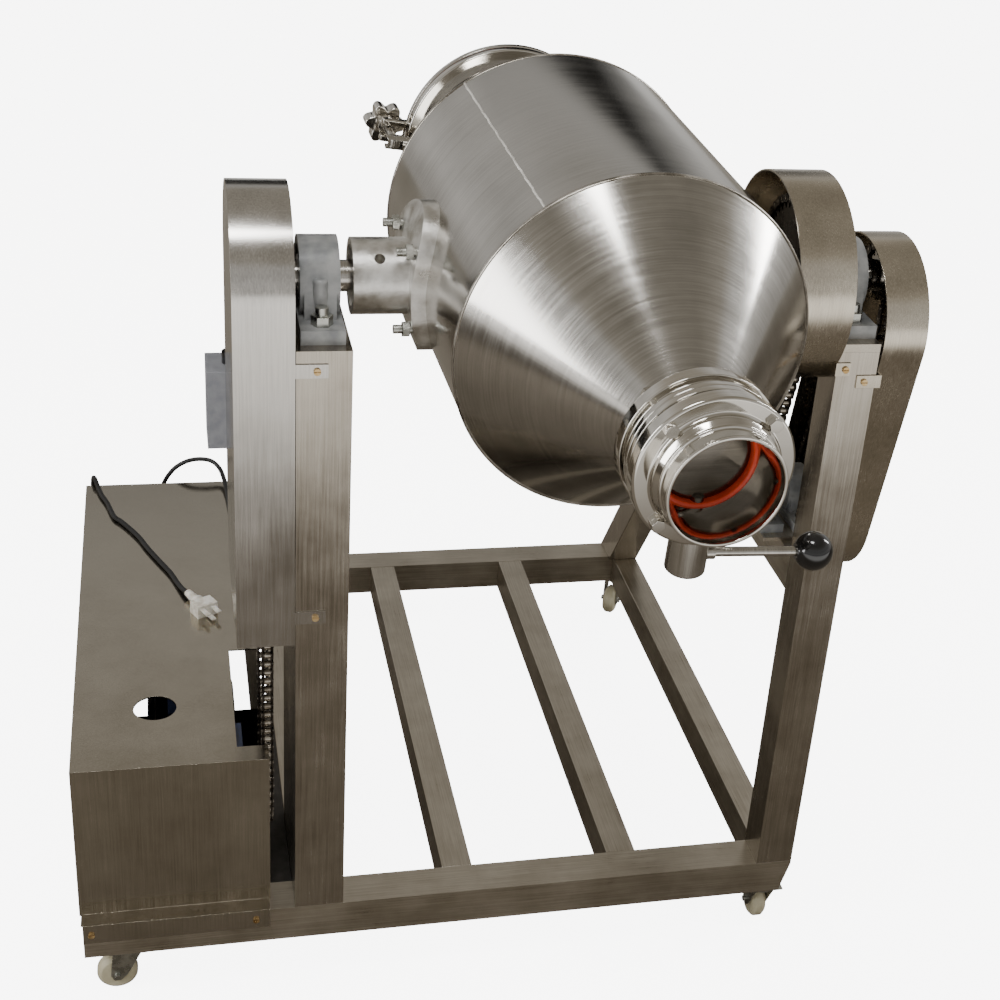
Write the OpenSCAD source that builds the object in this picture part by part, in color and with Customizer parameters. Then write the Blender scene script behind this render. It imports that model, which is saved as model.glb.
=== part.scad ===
// Tilting drum mixer on a castered floor frame, tumbled by a chain on the left
// and stirred by a faster shaft that is geared from the drum on the right.
// Lengths are millimetres, angles degrees. X runs right along the front rail,
// Y runs back from it and Z up from the floor.

/* [Floor frame] */
// Length of the floor frame, left to right
frame_len = 920; // [900:5:960]
// Depth of the floor frame, front to back
frame_dep = 890; // [860:5:930]
// Side of the square frame tube
tube = 50; // [44:1:56]
// Wall of the frame tube
tube_wall = 2.5; // [1.5:0.5:4]
// Width of the lighter rails that run front to back
rail_w = 40; // [34:1:44]
// Height of the frame above the floor, on its castors
ride_h = 70; // [66:1:76]
// Left face of the first cross rail
cross_a = 450; // [430:5:480]
// Left face of the second cross rail
cross_b = 673; // [640:5:700]
// Bevel at the right end of the front rail
end_bevel = 12; // [4:1:20]

/* [Posts] */
// Left face of the left post
post_x = 256; // [250:1:262]
// Width of the left post
post_w = 60; // [54:1:66]
// Depth of the left post
post_d = 190; // [184:1:200]
// Thickness of the plates that carry the bearings
seat_plate = 10; // [6:1:12]
// Thickness of the gusset under the right bearing
gusset_t = 8; // [4:1:12]
// Lean of the rear leg from the upright
leg_lean = 36; // [32:1:39]

/* [Trunnion] */
// Height of the trunnion axis above the floor
axis_h = 922; // [900:2:950]
// Distance of the trunnion axis behind the frame's front face
axis_y = 100; // [96:1:104]
// Diameter of the trunnion shafts
shaft_d = 35; // [30:1:38]
// Height of the bearing's bore above its foot
bearing_h = 47.6; // [46:0.2:50]
// Distance between the two foot bolts of a bearing
bearing_pitch = 127; // [120:1:134]
// Width of the bearing's foot
bearing_w = 48; // [44:1:50]
// Diameter of the bearing's foot bolts
bearing_bolt = 14; // [12:1:16]
// Diameter of the welded hub on the left shaft
hub_d = 85; // [76:1:92]
// Height of the flange bolted to the drum
flange_h = 172; // [160:2:184]
// Width of the flange bolted to the drum
flange_w = 110; // [104:2:120]
// Thickness of the flange, and of the pad behind it
flange_t = 10; // [6:1:12]
// Diameter of the flange studs
stud_d = 10; // [8:1:12]

/* [Drum] */
// Outer radius of the drum
drum_r = 195; // [188:1:200]
// Wall of the drum
drum_wall = 2; // [1.5:0.5:3]
// Length of the cylinder in front of the trunnion axis
drum_front = 182; // [172:2:190]
// Length of the cylinder behind the trunnion axis
drum_back = 186; // [176:2:194]
// Length of each cone
cone_l = 172; // [164:2:180]
// Outer radius of the neck behind the valve
neck_r = 52; // [50:0.5:54]
// Outer radius of the filling neck
mouth_r = 112; // [106:1:116]
// Tilt of the drum at rest, outlet downwards
drum_tilt = 4.8; // [0:0.1:8]
// Skew of the drum's own axis from square to the trunnions
drum_skew = 3.2; // [0:0.1:4]

/* [Lid] */
// Outer radius of the lid and of the neck flange
lid_r = 135; // [131:1:139]
// Thickness of the lid's rim, and of the flange it closes
rim_t = 12; // [9:1:15]
// Thickness of the lid's gasket
gasket_t = 4; // [2:0.5:5]
// Diameter of the swing bolts
swing_d = 12; // [10:1:12]
// Distance of the swing bolts from the drum's own axis
swing_reach = 156; // [154:1:160]
// Diameter across the star knob's lobes
star_d = 54; // [48:1:58]

/* [Outlet valve] */
// Bore of the valve
valve_bore = 100; // [96:1:100]
// Radius of the valve's rear flange
flange_a_r = 80; // [78:1:83]
// Radius of the valve's front flange
flange_b_r = 81; // [79:1:84]
// Radius of the outlet's rim
rim_r = 59.5; // [58:0.5:61]
// Distance of the outlet's rim from the trunnion axis
outlet_s = 469; // [462:1:480]
// Diameter of the valve's stem
stem_d = 14; // [10:1:16]
// Diameter of the handle's hub
lever_hub_d = 41; // [34:1:42]
// Diameter of the handle's rod
lever_d = 10; // [8:1:12]
// Distance of the ball knob from the stem's axis
lever_l = 131; // [120:1:140]
// Diameter of the ball knob
ball_d = 40; // [34:1:44]

/* [Drive] */
// Pitch of all the chains
chain_pitch = 12.7; // [12.7:0.1:12.7]
// Teeth of the sprocket on the left trunnion
teeth_drum = 40; // [38:1:41]
// Teeth of the sprocket on the gear box
teeth_motor = 17; // [16:1:19]
// Teeth of the large sprocket on the right trunnion
teeth_right = 44; // [42:1:45]
// Teeth of the sprocket that the right trunnion turns
teeth_lay = 20; // [18:1:22]
// Teeth of the layshaft's outer sprocket
teeth_outer = 38; // [36:1:39]
// Teeth of the sprocket on the stirring shaft
teeth_stir = 17; // [16:1:18]
// Diameter of the stirring shaft and the layshaft
stir_d = 20; // [16:1:22]
// Reach of the stirring blades from the shaft's axis
blade_reach = 150; // [130:1:152]
// Height of the layshaft above the floor
lay_h = 610; // [604:1:616]
// Distance of the layshaft behind the frame's front face
lay_y = 160; // [156:1:164]

/* [Covers] */
// Sheet thickness of the guards and of the motor box
sheet = 2; // [1:0.5:3]
// Width of the motor box
box_w = 231; // [225:1:238]
// Depth of the motor box
box_d = 737; // [700:5:780]
// Height of the motor box
box_h = 217; // [210:1:226]
// Radius of the left guard's round top
left_guard_r = 104; // [103:1:108]
// Radius of the round guard beside the drum
inner_guard_r = 122; // [118:1:126]
// Radius of the outer guard's rounded ends
outer_guard_r = 97; // [96:1:102]

/* [Castors] */
// Radius of a castor wheel
wheel_r = 25; // [23:0.5:27]
// Width of a castor wheel
wheel_w = 20; // [16:1:22]
// Distance of the wheel's axle behind its swivel
trail = 15; // [12:1:18]

/* [Hidden] */
$fn = 64;

// Clearances and cutting overrun shared by every fit
run = 0.05;
gap = 0.3;
over = 1;

steel = [0.72, 0.71, 0.69];
sheet_grey = [0.78, 0.77, 0.74];
dark_steel = [0.30, 0.29, 0.28];
cast_grey = [0.45, 0.46, 0.47];
bright = [0.85, 0.85, 0.84];
brass = [0.76, 0.60, 0.38];
black = [0.10, 0.10, 0.11];
silicone = [0.93, 0.27, 0.13];
cream = [0.86, 0.83, 0.70];
motor_blue = [0.20, 0.24, 0.40];

// Floor frame
rail_top = ride_h + tube;
weep_r = 4;
inner_rail_x = post_x;

// Trunnion bearings: pillow blocks with a bolted foot
left_bearing_x = post_x + post_w / 2;
right_post_x = frame_len - tube;
right_bearing_x = frame_len - tube / 2;
foot_l = bearing_pitch + 40;
foot_t = 16;
housing_share = 0.954;
round_share = 0.9;
cheek_share = 0.72;
housing_r = bearing_h * housing_share;
nose_w = 42;
insert_r = 36;
insert_w = 20;
insert_lip_r = 24;
post_top = axis_h - bearing_h;
bracket_z = post_top - seat_plate;
cap_t = 6;
gusset_back = axis_y + bearing_pitch / 2 - bearing_bolt;
nut_h = 11;
nut_r = 12.1;
bolt_stub = 9;

// Drum placed midway between the two bearings
drum_x = (left_bearing_x + right_bearing_x) / 2;
pad_gap = 6;
pad_left = drum_x - drum_r - pad_gap;
pad_right = drum_x + drum_r + pad_gap;
left_plate_x = pad_left - flange_t;
hub_start = left_bearing_x + 36;
hub_recess = 8;
hub_wall = 8;
hub_screw_r = 6;
stud_y = 40;
stud_z = 46;
stud_out = 10;
stud_in = 14;
hub_screw_turn = 40;
hub_sink = 8;
saddle_reach = 34;
stud_nut_h = 8;
stud_nut_r = 9.2;
stud_seat = sqrt(pow(drum_r + pad_gap + flange_t, 2) - pow(stud_z - stud_nut_r, 2));
stud_play = stud_nut_r * tan(drum_skew);
stud_half = stud_seat / cos(drum_skew) + stud_play;
left_nut_x = drum_x - stud_half - stud_nut_h;
right_nut_x = drum_x + stud_half;
short_hub = 10;
left_shaft_start = 206;
right_shaft_end = 925;

// Drum profile, measured along its own axis from the trunnions
front_neck = drum_front + cone_l;
back_neck = drum_back + cone_l;
valve_back = front_neck + 18;
lid_joint = 402;
flange_back = lid_joint - gasket_t / 2;
lid_face = lid_joint + gasket_t / 2;
lid_back = lid_face + rim_t;
gasket_in = mouth_r - 3;
gasket_out = lid_r - 6;
rim_round = 4;
dish = 14;
dish_r = 92;

// Lugs, ears and swing bolts of the lid
swing_turn = 7.5;
lug_s = 364;
lug_r = 9;
lug_end = 11;
eye_r = 8.5;
eye_t = 9.4;
eye_slot = 10;
neck_l = norm([lug_end, lug_r]) + gap;
pin_r = 3;
ear_w = 30;
ear_out = 10;
ear_slot = swing_d + 1;
star_gap = 1.2;
star_boss_r = 12;
star_boss_h = 10;
star_h = 24;
star_hub_r = 16;
lobe_r = 8.5;
lobe_turn = 20;
star_s = lid_back + star_gap;
bolt_end = star_s + star_boss_h + star_h + 8;

// Valve, measured the same way
valve_s = 404;
body_step = 16;
groove_w = 8;
groove_r = 73;
mid_r = 78;
flange_b_end = 434;
seat_w = 20;
seat_in = valve_bore / 2 - 3;
seat_out = valve_bore / 2 + 9;
disc_r = seat_in - gap;
disc_t = 8;
stem_top = disc_r + seat_w / 2;
stem_in = seat_w / 2 + 5;
collar_r = 64;
shoulder_r = 61;
shoulder_s = 446;
rim_w = 7;
rim_neck_r = 58;
outlet_wall = 4;
valve_bolt_d = 8;
valve_head_r = 7.2;
valve_bolt_r = collar_r + valve_head_r + over;
valve_bolt_turn = 45;
valve_head_h = 7;
stem_turn = -1.2;
lever_skew = 5;
lever_z = 108;
lever_hub_start = 82;
lever_hub_end = 128;

// Chains and sprockets
roller_r = 4.25;
roller_w = 7.75;
plate_h = 5.9;
plate_t = 3;
chain_play = 3;
tooth_gap = 0.35;
tooth_depth = 6.5;
wheel_t = 7.2;
left_chain_x = 227;
inner_chain_x = 836;
outer_chain_x = 950;
drive_h = 230;
hub_len = 18;

// Layshaft and its two small bearings on the slotted plate
lay_bearing_h = 33.3;
lay_bearing_w = 30;
lay_bearing_pitch = 95;
lay_foot_l = 127;
lay_foot_t = 12;
lay_housing_r = 30;
lay_bolt_d = 10;
lay_plate_t = 5;
lay_plate_front = 84;
lay_plate_back = 244;
lay_plate_over = 24;
lay_slot = 26;
lay_in = 861;
lay_out = 905;
beam_top = lay_h - lay_bearing_h - lay_plate_t;
beam_end = 600;

// Stirrer
stir_end = 960;
stir_start = drum_x - drum_r + drum_wall + 10;
arm_r = 7;
blade_w = 64;
blade_h = 44;
blade_t = 4;
blade_pitch = 35;
arm_places_share = [-0.46, -0.155, 0.155, 0.46];
bush_r = 18;
bush_l = 16;

// Motor box and what it holds
box_x = -4;
box_y = 20;
box_top = rail_top + box_h;
box_right = box_x + box_w;
peep_x = 94.5;
peep_y = 142.4;
peep_r = 26;
notch_x = 190;
notch_front = 49;
notch_back = 266;
notch_drop = 170;
flange_drop = 26;
shelf_t = 6;
shelf_front = tube;
shelf_back = 440;
gear_x = 80;
gear_w = 120;
gear_y = 32;
gear_d = 136;
gear_h = 168;
gear_flange_r = 40;
gear_shaft_d = 25;
motor_r = 62;
motor_x = 140;
motor_z = 186;
motor_y = gear_y + gear_d;
motor_l = 230;

// Guards
left_guard_x = 190;
left_guard_w = 65;
left_guard_z = 512;
inner_guard_x = 803;
inner_guard_z = 820;
outer_guard_x = 925;
outer_guard_w = 53;
outer_top_y = 100;
outer_top_z = 874;
outer_low_y = 158;
outer_low_z = 605;
tab_h = 16;
tab_l = 34;
tab_a = 852;
tab_b = 546.5;
left_screw_x = post_x + tab_l * 0.65;
inner_screw_x = right_post_x + tab_h * 0.62;
inner_tab_z = inner_guard_z + tab_h * 1.5;
outer_screw_x = frame_len - tab_h * 0.9;
outer_tab_z = inner_guard_z + tab_h / 2;
box_screws = [10, 208];
box_screw_z = rail_top - flange_drop / 2;
screw_r = 4;
screw_h = 2.5;

// Castors: one row each of swivel place and the way the wheel trails
castor_rows = [[52, 25, 180], [893, 25, 90], [895, 865, 240], [40, 865, 300]];
plate_side = 46;
plate_thick = 2.5;
fork_w = wheel_w + 6;
fork_t = 2;
axle_r = 4;

// Switch box
switch_x = 168;
switch_w = 62;
switch_y = 204;
switch_d = 60;
switch_z = 664;
switch_h = 100;
switch_wall = 3;
switch_knob_r = 12;
switch_knob_h = 14;
gland_r = 9;
gland_l = 14;
gland_x = switch_x + switch_w / 2;
gland_y = switch_y + switch_d / 2;

// Cord route from the switch box to the plug, points chosen by hand
cord_d = 7;
cord_route = [[199, 234, 650], [199, 234, 628], [200, 236, 600], [203, 242, 560],
    [207, 252, 520], [211, 266, 478], [214, 284, 436], [216, 306, 398],
    [217, 334, 366], [216, 370, 347], [214, 420, 341], [212, 480, 341],
    [211, 540, 341], [210, 600, 341], [209, 655, 341], [207, 705, 343],
    [204, 742, 348], [198, 768, 355], [186, 780, 362], [168, 784, 364],
    [148, 785, 360], [128, 787, 346], [112, 790, 320], [104, 793, 285],
    [98, 796, 245], [88, 799, 212], [70, 801, 192], [48, 801, 188],
    [26, 798, 204], [14, 793, 234], [8, 788, 272], [5, 782, 312],
    [6, 774, 339], [9, 760, 348], [14, 742, 343], [20, 716, 341],
    [29, 688, 341], [39, 646, 341], [50, 628, 341], [64, 602, 341],
    [76, 576, 341], [86, 548, 341], [98, 518, 341], [110, 490, 341],
    [119, 468, 341], [127, 442, 341], [134, 420, 343], [141, 404, 346]];
cord_sides = 8;
plug_end = [141, 404, 346];
plug_way = [0.45, -0.893, 0];
relief_l = 26;
plug_head = 34;
plug_t = 18;
plug_w = 30;
plug_l = 22;
plug_pins = [[-4, -8], [-4, 8], [5, 0]];
pin_t = 2;
pin_w = 6;
pin_l = 17;

// Outer box of the standing part, for the origin under its middle
side_lean = sqrt(1 - pow(cos(drum_skew) * cos(drum_tilt), 2));
front_y = axis_y - outlet_s * cos(drum_skew) * cos(drum_tilt) - rim_r * side_lean;
mid_x = (box_x + outer_guard_x + outer_guard_w) / 2;
mid_y = (front_y + frame_dep) / 2;

echo(middle = [mid_x, mid_y], drum_x = drum_x, beam_top = beam_top, front_y = front_y);

// Places the whole machine over the origin.
module place() translate([-mid_x, -mid_y, 0]) children();

// Extrudes an outline drawn in Y and Z along X.
module along_x(x, w) translate([x, 0, 0]) rotate([90, 0, 90]) linear_extrude(w) children();

// A rod along X through the point y, z.
module rod_x(x, y, z, r, w) translate([x, y, z]) rotate([0, 90, 0]) cylinder(r = r, h = w);

// A box between two corners.
module block(a, b) translate(a) cube(b - a);

// The trunnion frame: its X axis is the drum's turning axis.
module trunnion() translate([0, axis_y, axis_h]) rotate([drum_tilt, 0, 0]) children();

// The drum's own frame: Z runs towards the outlet, Y up and X right.
module drum_frame() trunnion() translate([drum_x, 0, 0]) rotate([0, 0, drum_skew])
    rotate([90, 0, 0]) children();

// A square tube along X, Y or Z, open at both ends.
module tube_along(way, at, size)
    difference() {
        translate(at) cube(size);
        translate([for (i = [0:2]) i == way ? at[i] - over : at[i] + tube_wall])
            cube([for (i = [0:2]) i == way ? size[i] + 2 * over : size[i] - 2 * tube_wall]);
    }

// Sprockets and chains

function pitch_r(teeth) = chain_pitch / (2 * sin(180 / teeth));

// The toothed outline of one sprocket, a little inside the chain's rollers.
module sprocket_2d(teeth) {
    tip = pitch_r(teeth) - roller_r - tooth_gap;
    mouth = chain_pitch * 0.62;
    difference() {
        circle(r = tip, $fn = 96);
        for (i = [0:teeth - 1])
            rotate(360 * (i + 0.5) / teeth)
                polygon([[tip - tooth_depth, -mouth / 4], [tip + over, -mouth / 2],
                    [tip + over, mouth / 2], [tip - tooth_depth, mouth / 4]]);
    }
}

// A sprocket with its hub, on a shaft of diameter bore along X.
module sprocket(teeth, x, hub_r, bore, hub_side) {
    difference() {
        union() {
            along_x(x - wheel_t / 2, wheel_t) sprocket_2d(teeth);
            rod_x(hub_side > 0 ? x : x - hub_len, 0, 0, hub_r, hub_len);
        }
        rod_x(x - hub_len - over, 0, 0, bore / 2, 2 * hub_len + 2 * over);
    }
}

// The outline round two wheels, drawn from the first centre along its own X.
module belt_2d(r1, r2, dist) {
    lean = asin((r1 - r2) / dist);
    steps = 28;
    polygon(concat(
        [for (i = [0:steps]) let (a = (90 - lean) * (2 * i / steps - 1))
            [dist + r2 * cos(a), r2 * sin(a)]],
        [for (i = [0:steps]) let (a = 180 + (90 + lean) * (2 * i / steps - 1))
            [r1 * cos(a), r1 * sin(a)]]));
}

// A point on the belt line at the length s from its upper tangent start.
function belt_point(s, r1, r2, dist) =
    let (lean = asin((r1 - r2) / dist),
        run_l = dist * cos(lean),
        arc_b = r2 * (180 - 2 * lean) * PI / 180,
        arc_a = r1 * (180 + 2 * lean) * PI / 180)
    s < run_l ? [r1 * sin(lean) + s * cos(lean), r1 * cos(lean) - s * sin(lean)] :
    s < run_l + arc_b ?
        let (a = 90 - lean - (s - run_l) / r2 * 180 / PI) [dist + r2 * cos(a), r2 * sin(a)] :
    s < 2 * run_l + arc_b ?
        let (t = s - run_l - arc_b)
        [dist + r2 * sin(lean) - t * cos(lean), -r2 * cos(lean) - t * sin(lean)] :
    let (a = 270 + lean - (s - 2 * run_l - arc_b) / r1 * 180 / PI) [r1 * cos(a), r1 * sin(a)];

function belt_length(r1, r2, dist) =
    let (lean = asin((r1 - r2) / dist))
    2 * dist * cos(lean) + (r2 * (180 - 2 * lean) + r1 * (180 + 2 * lean)) * PI / 180;

// A chain between two wheel centres given as [y, z], in the plane x.
module chain(x, a, b, r1, r2) {
    step = b - a;
    dist = norm(step);
    whole = belt_length(r1, r2, dist);
    links = 2 * round(whole / chain_pitch / 2);
    echo(chain = x, links = links, pitch = whole / links);
    translate([x, a[0], a[1]]) rotate([atan2(step[1], step[0]), 0, 0]) rotate([90, 0, 90]) {
        for (side = [-1, 1])
            translate([0, 0, side * (roller_w + plate_t) / 2 - plate_t / 2])
                linear_extrude(plate_t) difference() {
                    belt_2d(r1 + plate_h, r2 + plate_h, dist);
                    belt_2d(r1 - plate_h, r2 - plate_h, dist);
                }
        for (i = [0:links - 1]) {
            p = belt_point(whole * (i + 0.5) / links, r1, r2, dist);
            translate([p[0], p[1], -roller_w / 2]) cylinder(r = roller_r, h = roller_w, $fn = 24);
        }
    }
}

// The room that a chain needs where it leaves a guard.
module chain_way(x, a, b, r1, r2) {
    step = b - a;
    wide = roller_w + 2 * plate_t + 2 * chain_play;
    translate([x, a[0], a[1]]) rotate([atan2(step[1], step[0]), 0, 0]) rotate([90, 0, 90])
        translate([0, 0, -wide / 2]) linear_extrude(wide)
            belt_2d(r1 + plate_h + chain_play, r2 + plate_h + chain_play, norm(step));
}

// Floor frame

module front_rail() color(steel) place() difference() {
    translate([0, tube, ride_h]) rotate([90, 0, 0]) linear_extrude(tube)
        polygon([[0, 0], [frame_len - end_bevel, 0], [frame_len, tube * 0.9],
            [frame_len, tube], [0, tube]]);
    translate([0, tube - tube_wall, ride_h]) rotate([90, 0, 0]) linear_extrude(tube - 2 * tube_wall)
        polygon([[tube_wall, tube_wall], [frame_len - end_bevel - tube_wall, tube_wall],
            [frame_len - tube_wall, tube * 0.9], [frame_len - tube_wall, tube - tube_wall],
            [tube_wall, tube - tube_wall]]);
    translate([frame_len / 2, tube / 2, ride_h - over])
        cylinder(r = weep_r, h = tube_wall + 2 * over);
    for (x = box_screws) screw_seat(x, box_screw_z);
}

module rear_rail() color(steel) place() difference() {
    block([0, frame_dep - tube, ride_h], [frame_len, frame_dep, rail_top]);
    block([tube_wall, frame_dep - tube + tube_wall, ride_h + tube_wall],
        [frame_len - tube_wall, frame_dep - tube_wall, rail_top - tube_wall]);
    translate([frame_len / 2, frame_dep - tube / 2, ride_h - over])
        cylinder(r = weep_r, h = tube_wall + 2 * over);
}

// The five rails that run front to back between the front and rear rails.
module floor_rails() color(steel) place() {
    inner = frame_dep - 2 * tube;
    tube_along(1, [0, tube, ride_h], [rail_w, inner, tube]);
    tube_along(1, [inner_rail_x, tube, ride_h], [post_w, inner, tube]);
    for (x = [cross_a, cross_b, frame_len - rail_w])
        tube_along(1, [x, tube, ride_h], [rail_w, inner, tube]);
}

// The left post, with a cap that its bearing is bolted to.
module left_post() color(steel) place() difference() {
    union() {
        tube_along(2, [post_x, 0, rail_top], [post_w, post_d, post_top - cap_t - rail_top]);
        block([post_x, 0, post_top - cap_t], [post_x + post_w, post_d, post_top]);
    }
    foot_holes(left_bearing_x, post_top - cap_t, cap_t);
    for (z = [tab_a, tab_b]) screw_seat(left_screw_x, z);
}

module foot_holes(x, z, t)
    for (side = [-1, 1])
        translate([x, axis_y + side * bearing_pitch / 2, z - over])
            cylinder(d = bearing_bolt + 2 * run, h = t + 2 * over);

// A hole through a tube's front wall for a cover screw.
module screw_seat(x, z) translate([x, tube_wall + over, z]) rotate([90, 0, 0])
    cylinder(r = screw_r / 2 + run, h = tube_wall + 2 * over);

module right_post() color(steel) place() difference() {
    tube_along(2, [right_post_x, 0, rail_top], [tube, tube, bracket_z - rail_top]);
    screw_seat(inner_screw_x, inner_tab_z);
    screw_seat(outer_screw_x, outer_tab_z);
}

// The leaning rear leg, cut to the rail below and to the beam above.
module rear_leg() color(steel) place() {
    wide = tube / cos(leg_lean);
    shift = (beam_top - tube - rail_top) * tan(leg_lean);
    thin = tube_wall / cos(leg_lean);
    rise = beam_top - tube - rail_top;
    foot = frame_dep - wide;
    difference() {
        along_x(right_post_x, tube) translate([foot, rail_top])
            polygon([[0, 0], [wide, 0], [wide - shift, rise], [-shift, rise]]);
        along_x(right_post_x + tube_wall, tube - 2 * tube_wall) translate([foot, rail_top])
            polygon([[thin + over * tan(leg_lean), -over], [wide - thin + over * tan(leg_lean), -over],
                [wide - thin - shift - over * tan(leg_lean), rise + over],
                [thin - shift - over * tan(leg_lean), rise + over]]);
    }
}

// The beam that carries the layshaft, from the right post back to the leg.
module side_beam() color(steel) place() difference() {
    block([right_post_x, tube, beam_top - tube], [frame_len, beam_end, beam_top]);
    block([right_post_x + tube_wall, tube - over, beam_top - tube + tube_wall],
        [frame_len - tube_wall, beam_end - tube_wall, beam_top - tube_wall]);
    for (side = [-1, 1])
        translate([lay_out, lay_y + side * lay_bearing_pitch / 2, beam_top - tube_wall - over])
            cylinder(d = lay_bolt_d + 2 * run, h = tube_wall + 2 * over);
}

// The plate and gusset under the right bearing, and the slotted plate under
// the layshaft's bearings.
module bearing_brackets() color(steel) place() {
    difference() {
        union() {
            block([right_post_x, 0, bracket_z], [frame_len, post_d, post_top]);
            along_x(right_bearing_x - gusset_t / 2, gusset_t)
                polygon([[tube, bracket_z], [gusset_back, bracket_z],
                    [tube + seat_plate, bracket_z - post_d / 2], [tube, bracket_z - post_d / 2]]);
        }
        foot_holes(right_bearing_x, bracket_z, seat_plate);
    }
    difference() {
        block([right_post_x - lay_plate_over, lay_plate_front, beam_top],
            [frame_len, lay_plate_back, beam_top + lay_plate_t]);
        for (x = [lay_in, lay_out]) for (side = [-1, 1])
            translate([x, lay_y + side * lay_bearing_pitch / 2, beam_top - over])
                slot_y(lay_slot, lay_bolt_d / 2 + run, lay_plate_t + 2 * over);
    }
}

// A slot along Y with round ends, of length l between their centres.
module slot_y(l, r, h) {
    for (side = [-1, 1]) translate([0, side * l / 2, 0]) cylinder(r = r, h = h);
    translate([-r, -l / 2, 0]) cube([2 * r, l, h]);
}

// Bearings

// One pillow block: a foot with two bolt holes and a round housing.
module pillow(x, y, z, h, r, w, length, thick, pitch, bolt, bore) {
    difference() {
        union() {
            block([x - w / 2, y - length / 2, z - h], [x + w / 2, y + length / 2, z - h + thick]);
            rod_x(x - w * round_share / 2, y, z, r, w * round_share);
            along_x(x - w * cheek_share / 2, w * cheek_share)
                polygon([[y - r * 1.16, z - h + thick / 2], [y + r * 1.16, z - h + thick / 2],
                    [y + r * 0.99, z], [y - r * 0.99, z]]);
            along_x(x - w * 0.2, w * 0.4)
                polygon([[y - length * 0.31, z - h + thick / 2], [y + length * 0.31, z - h + thick / 2],
                    [y + r * 0.7, z], [y - r * 0.7, z]]);
        }
        rod_x(x - w, y, z, bore, 2 * w);
        for (side = [-1, 1])
            translate([x, y + side * pitch / 2, z - h - over])
                cylinder(d = bolt + 2 * run, h = r + h);
    }
}

// The two pillow blocks that carry the drum, each with its ball bearing.
module trunnion_bearings() color(cast_grey) place()
    for (x = [left_bearing_x, right_bearing_x]) {
        pillow(x, axis_y, axis_h, bearing_h, housing_r, bearing_w, foot_l, foot_t,
            bearing_pitch, bearing_bolt, insert_r);
        difference() {
            union() {
                rod_x(x - insert_w / 2, axis_y, axis_h, insert_r, insert_w);
                rod_x(x - nose_w / 2, axis_y, axis_h, insert_lip_r, nose_w);
            }
            rod_x(x - nose_w, axis_y, axis_h, shaft_d / 2 + run, 2 * nose_w);
        }
    }

// The two small pillow blocks under the layshaft.
module layshaft_bearings() color(cast_grey) place()
    for (x = [lay_in, lay_out])
        pillow(x, lay_y, lay_h, lay_bearing_h, lay_housing_r, lay_bearing_w, lay_foot_l,
            lay_foot_t, lay_bearing_pitch, lay_bolt_d, stir_d / 2 + run);

// A foot bolt: shank from z down to z - deep, with a nut on the foot.
module foot_bolt(x, y, z, d, nut_w, nut_t, stub, deep)
    translate([x, y, z]) {
        translate([0, 0, -deep]) cylinder(d = d, h = deep + nut_t + stub);
        cylinder(r = nut_w, h = nut_t, $fn = 6);
    }

// All eight foot bolts with their nuts.
module frame_bolts() color(steel) place() {
    for (side = [-1, 1]) {
        y = axis_y + side * bearing_pitch / 2;
        z = post_top + foot_t;
        foot_bolt(left_bearing_x, y, z, bearing_bolt, nut_r, nut_h, bolt_stub,
            foot_t + cap_t + bolt_stub);
        foot_bolt(right_bearing_x, y, z, bearing_bolt, nut_r, nut_h, bolt_stub,
            foot_t + seat_plate + bolt_stub);
        for (x = [lay_in, lay_out])
            foot_bolt(x, lay_y + side * lay_bearing_pitch / 2, lay_h - lay_bearing_h + lay_foot_t,
                lay_bolt_d, lay_bolt_d * 0.92, lay_bolt_d * 0.8, lay_bolt_d / 2,
                lay_foot_t + lay_plate_t + tube_wall + lay_bolt_d / 2);
    }
}

// Covers

// The outline of a guard that is straight below its centre.
module arch_2d(r, cy, cz, low) {
    translate([cy, cz]) circle(r = r, $fn = 96);
    translate([cy - r, low]) square([2 * r, cz - low]);
}

// The tall guard over the left chain: a rim and an outer side plate.
module left_guard() color(sheet_grey) place() difference() {
    union() {
        difference() {
            along_x(left_guard_x, left_guard_w)
                arch_2d(left_guard_r, axis_y, axis_h, left_guard_z);
            along_x(left_guard_x + sheet, left_guard_w)
                arch_2d(left_guard_r - sheet, axis_y, axis_h, left_guard_z - over);
        }
        for (z = [tab_a, tab_b])
            block([left_guard_x + left_guard_w - tab_h, axis_y - left_guard_r + sheet, z - tab_h / 2],
                [post_x + tab_l, axis_y - left_guard_r + 2 * sheet, z + tab_h / 2]);
    }
    for (z = [tab_a, tab_b])
        tab_hole(left_screw_x, z);
}

module tab_hole(x, z) translate([x, over, z]) rotate([90, 0, 0])
    cylinder(r = screw_r / 2 + run, h = axis_y);

// The round guard beside the drum, cut off level below.
module inner_guard() color(sheet_grey) place() difference() {
    union() {
        difference() {
            along_x(inner_guard_x, right_post_x - inner_guard_x)
                translate([axis_y, axis_h]) circle(r = inner_guard_r, $fn = 96);
            along_x(inner_guard_x - over, right_post_x - inner_guard_x - sheet + over)
                translate([axis_y, axis_h]) circle(r = inner_guard_r - sheet, $fn = 96);
            block([inner_guard_x - over, axis_y - inner_guard_r - over, axis_h - inner_guard_r - over],
                [frame_len, axis_y + inner_guard_r + over, inner_guard_z]);
            rod_x(inner_guard_x, axis_y, axis_h, shaft_d / 2 + 3 * sheet, frame_len - inner_guard_x);
        }
        block([right_post_x - sheet, -sheet, inner_guard_z + tab_h],
            [right_post_x, tab_h, inner_guard_z + 2 * tab_h]);
        block([right_post_x - sheet, -sheet, inner_guard_z + tab_h],
            [right_post_x + tab_h, 0, inner_guard_z + 2 * tab_h]);
    }
    tab_hole(inner_screw_x, inner_tab_z);
    chain_way(inner_chain_x, [axis_y, axis_h], [lay_y, lay_h], pitch_r(teeth_right), pitch_r(teeth_lay));
}

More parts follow.
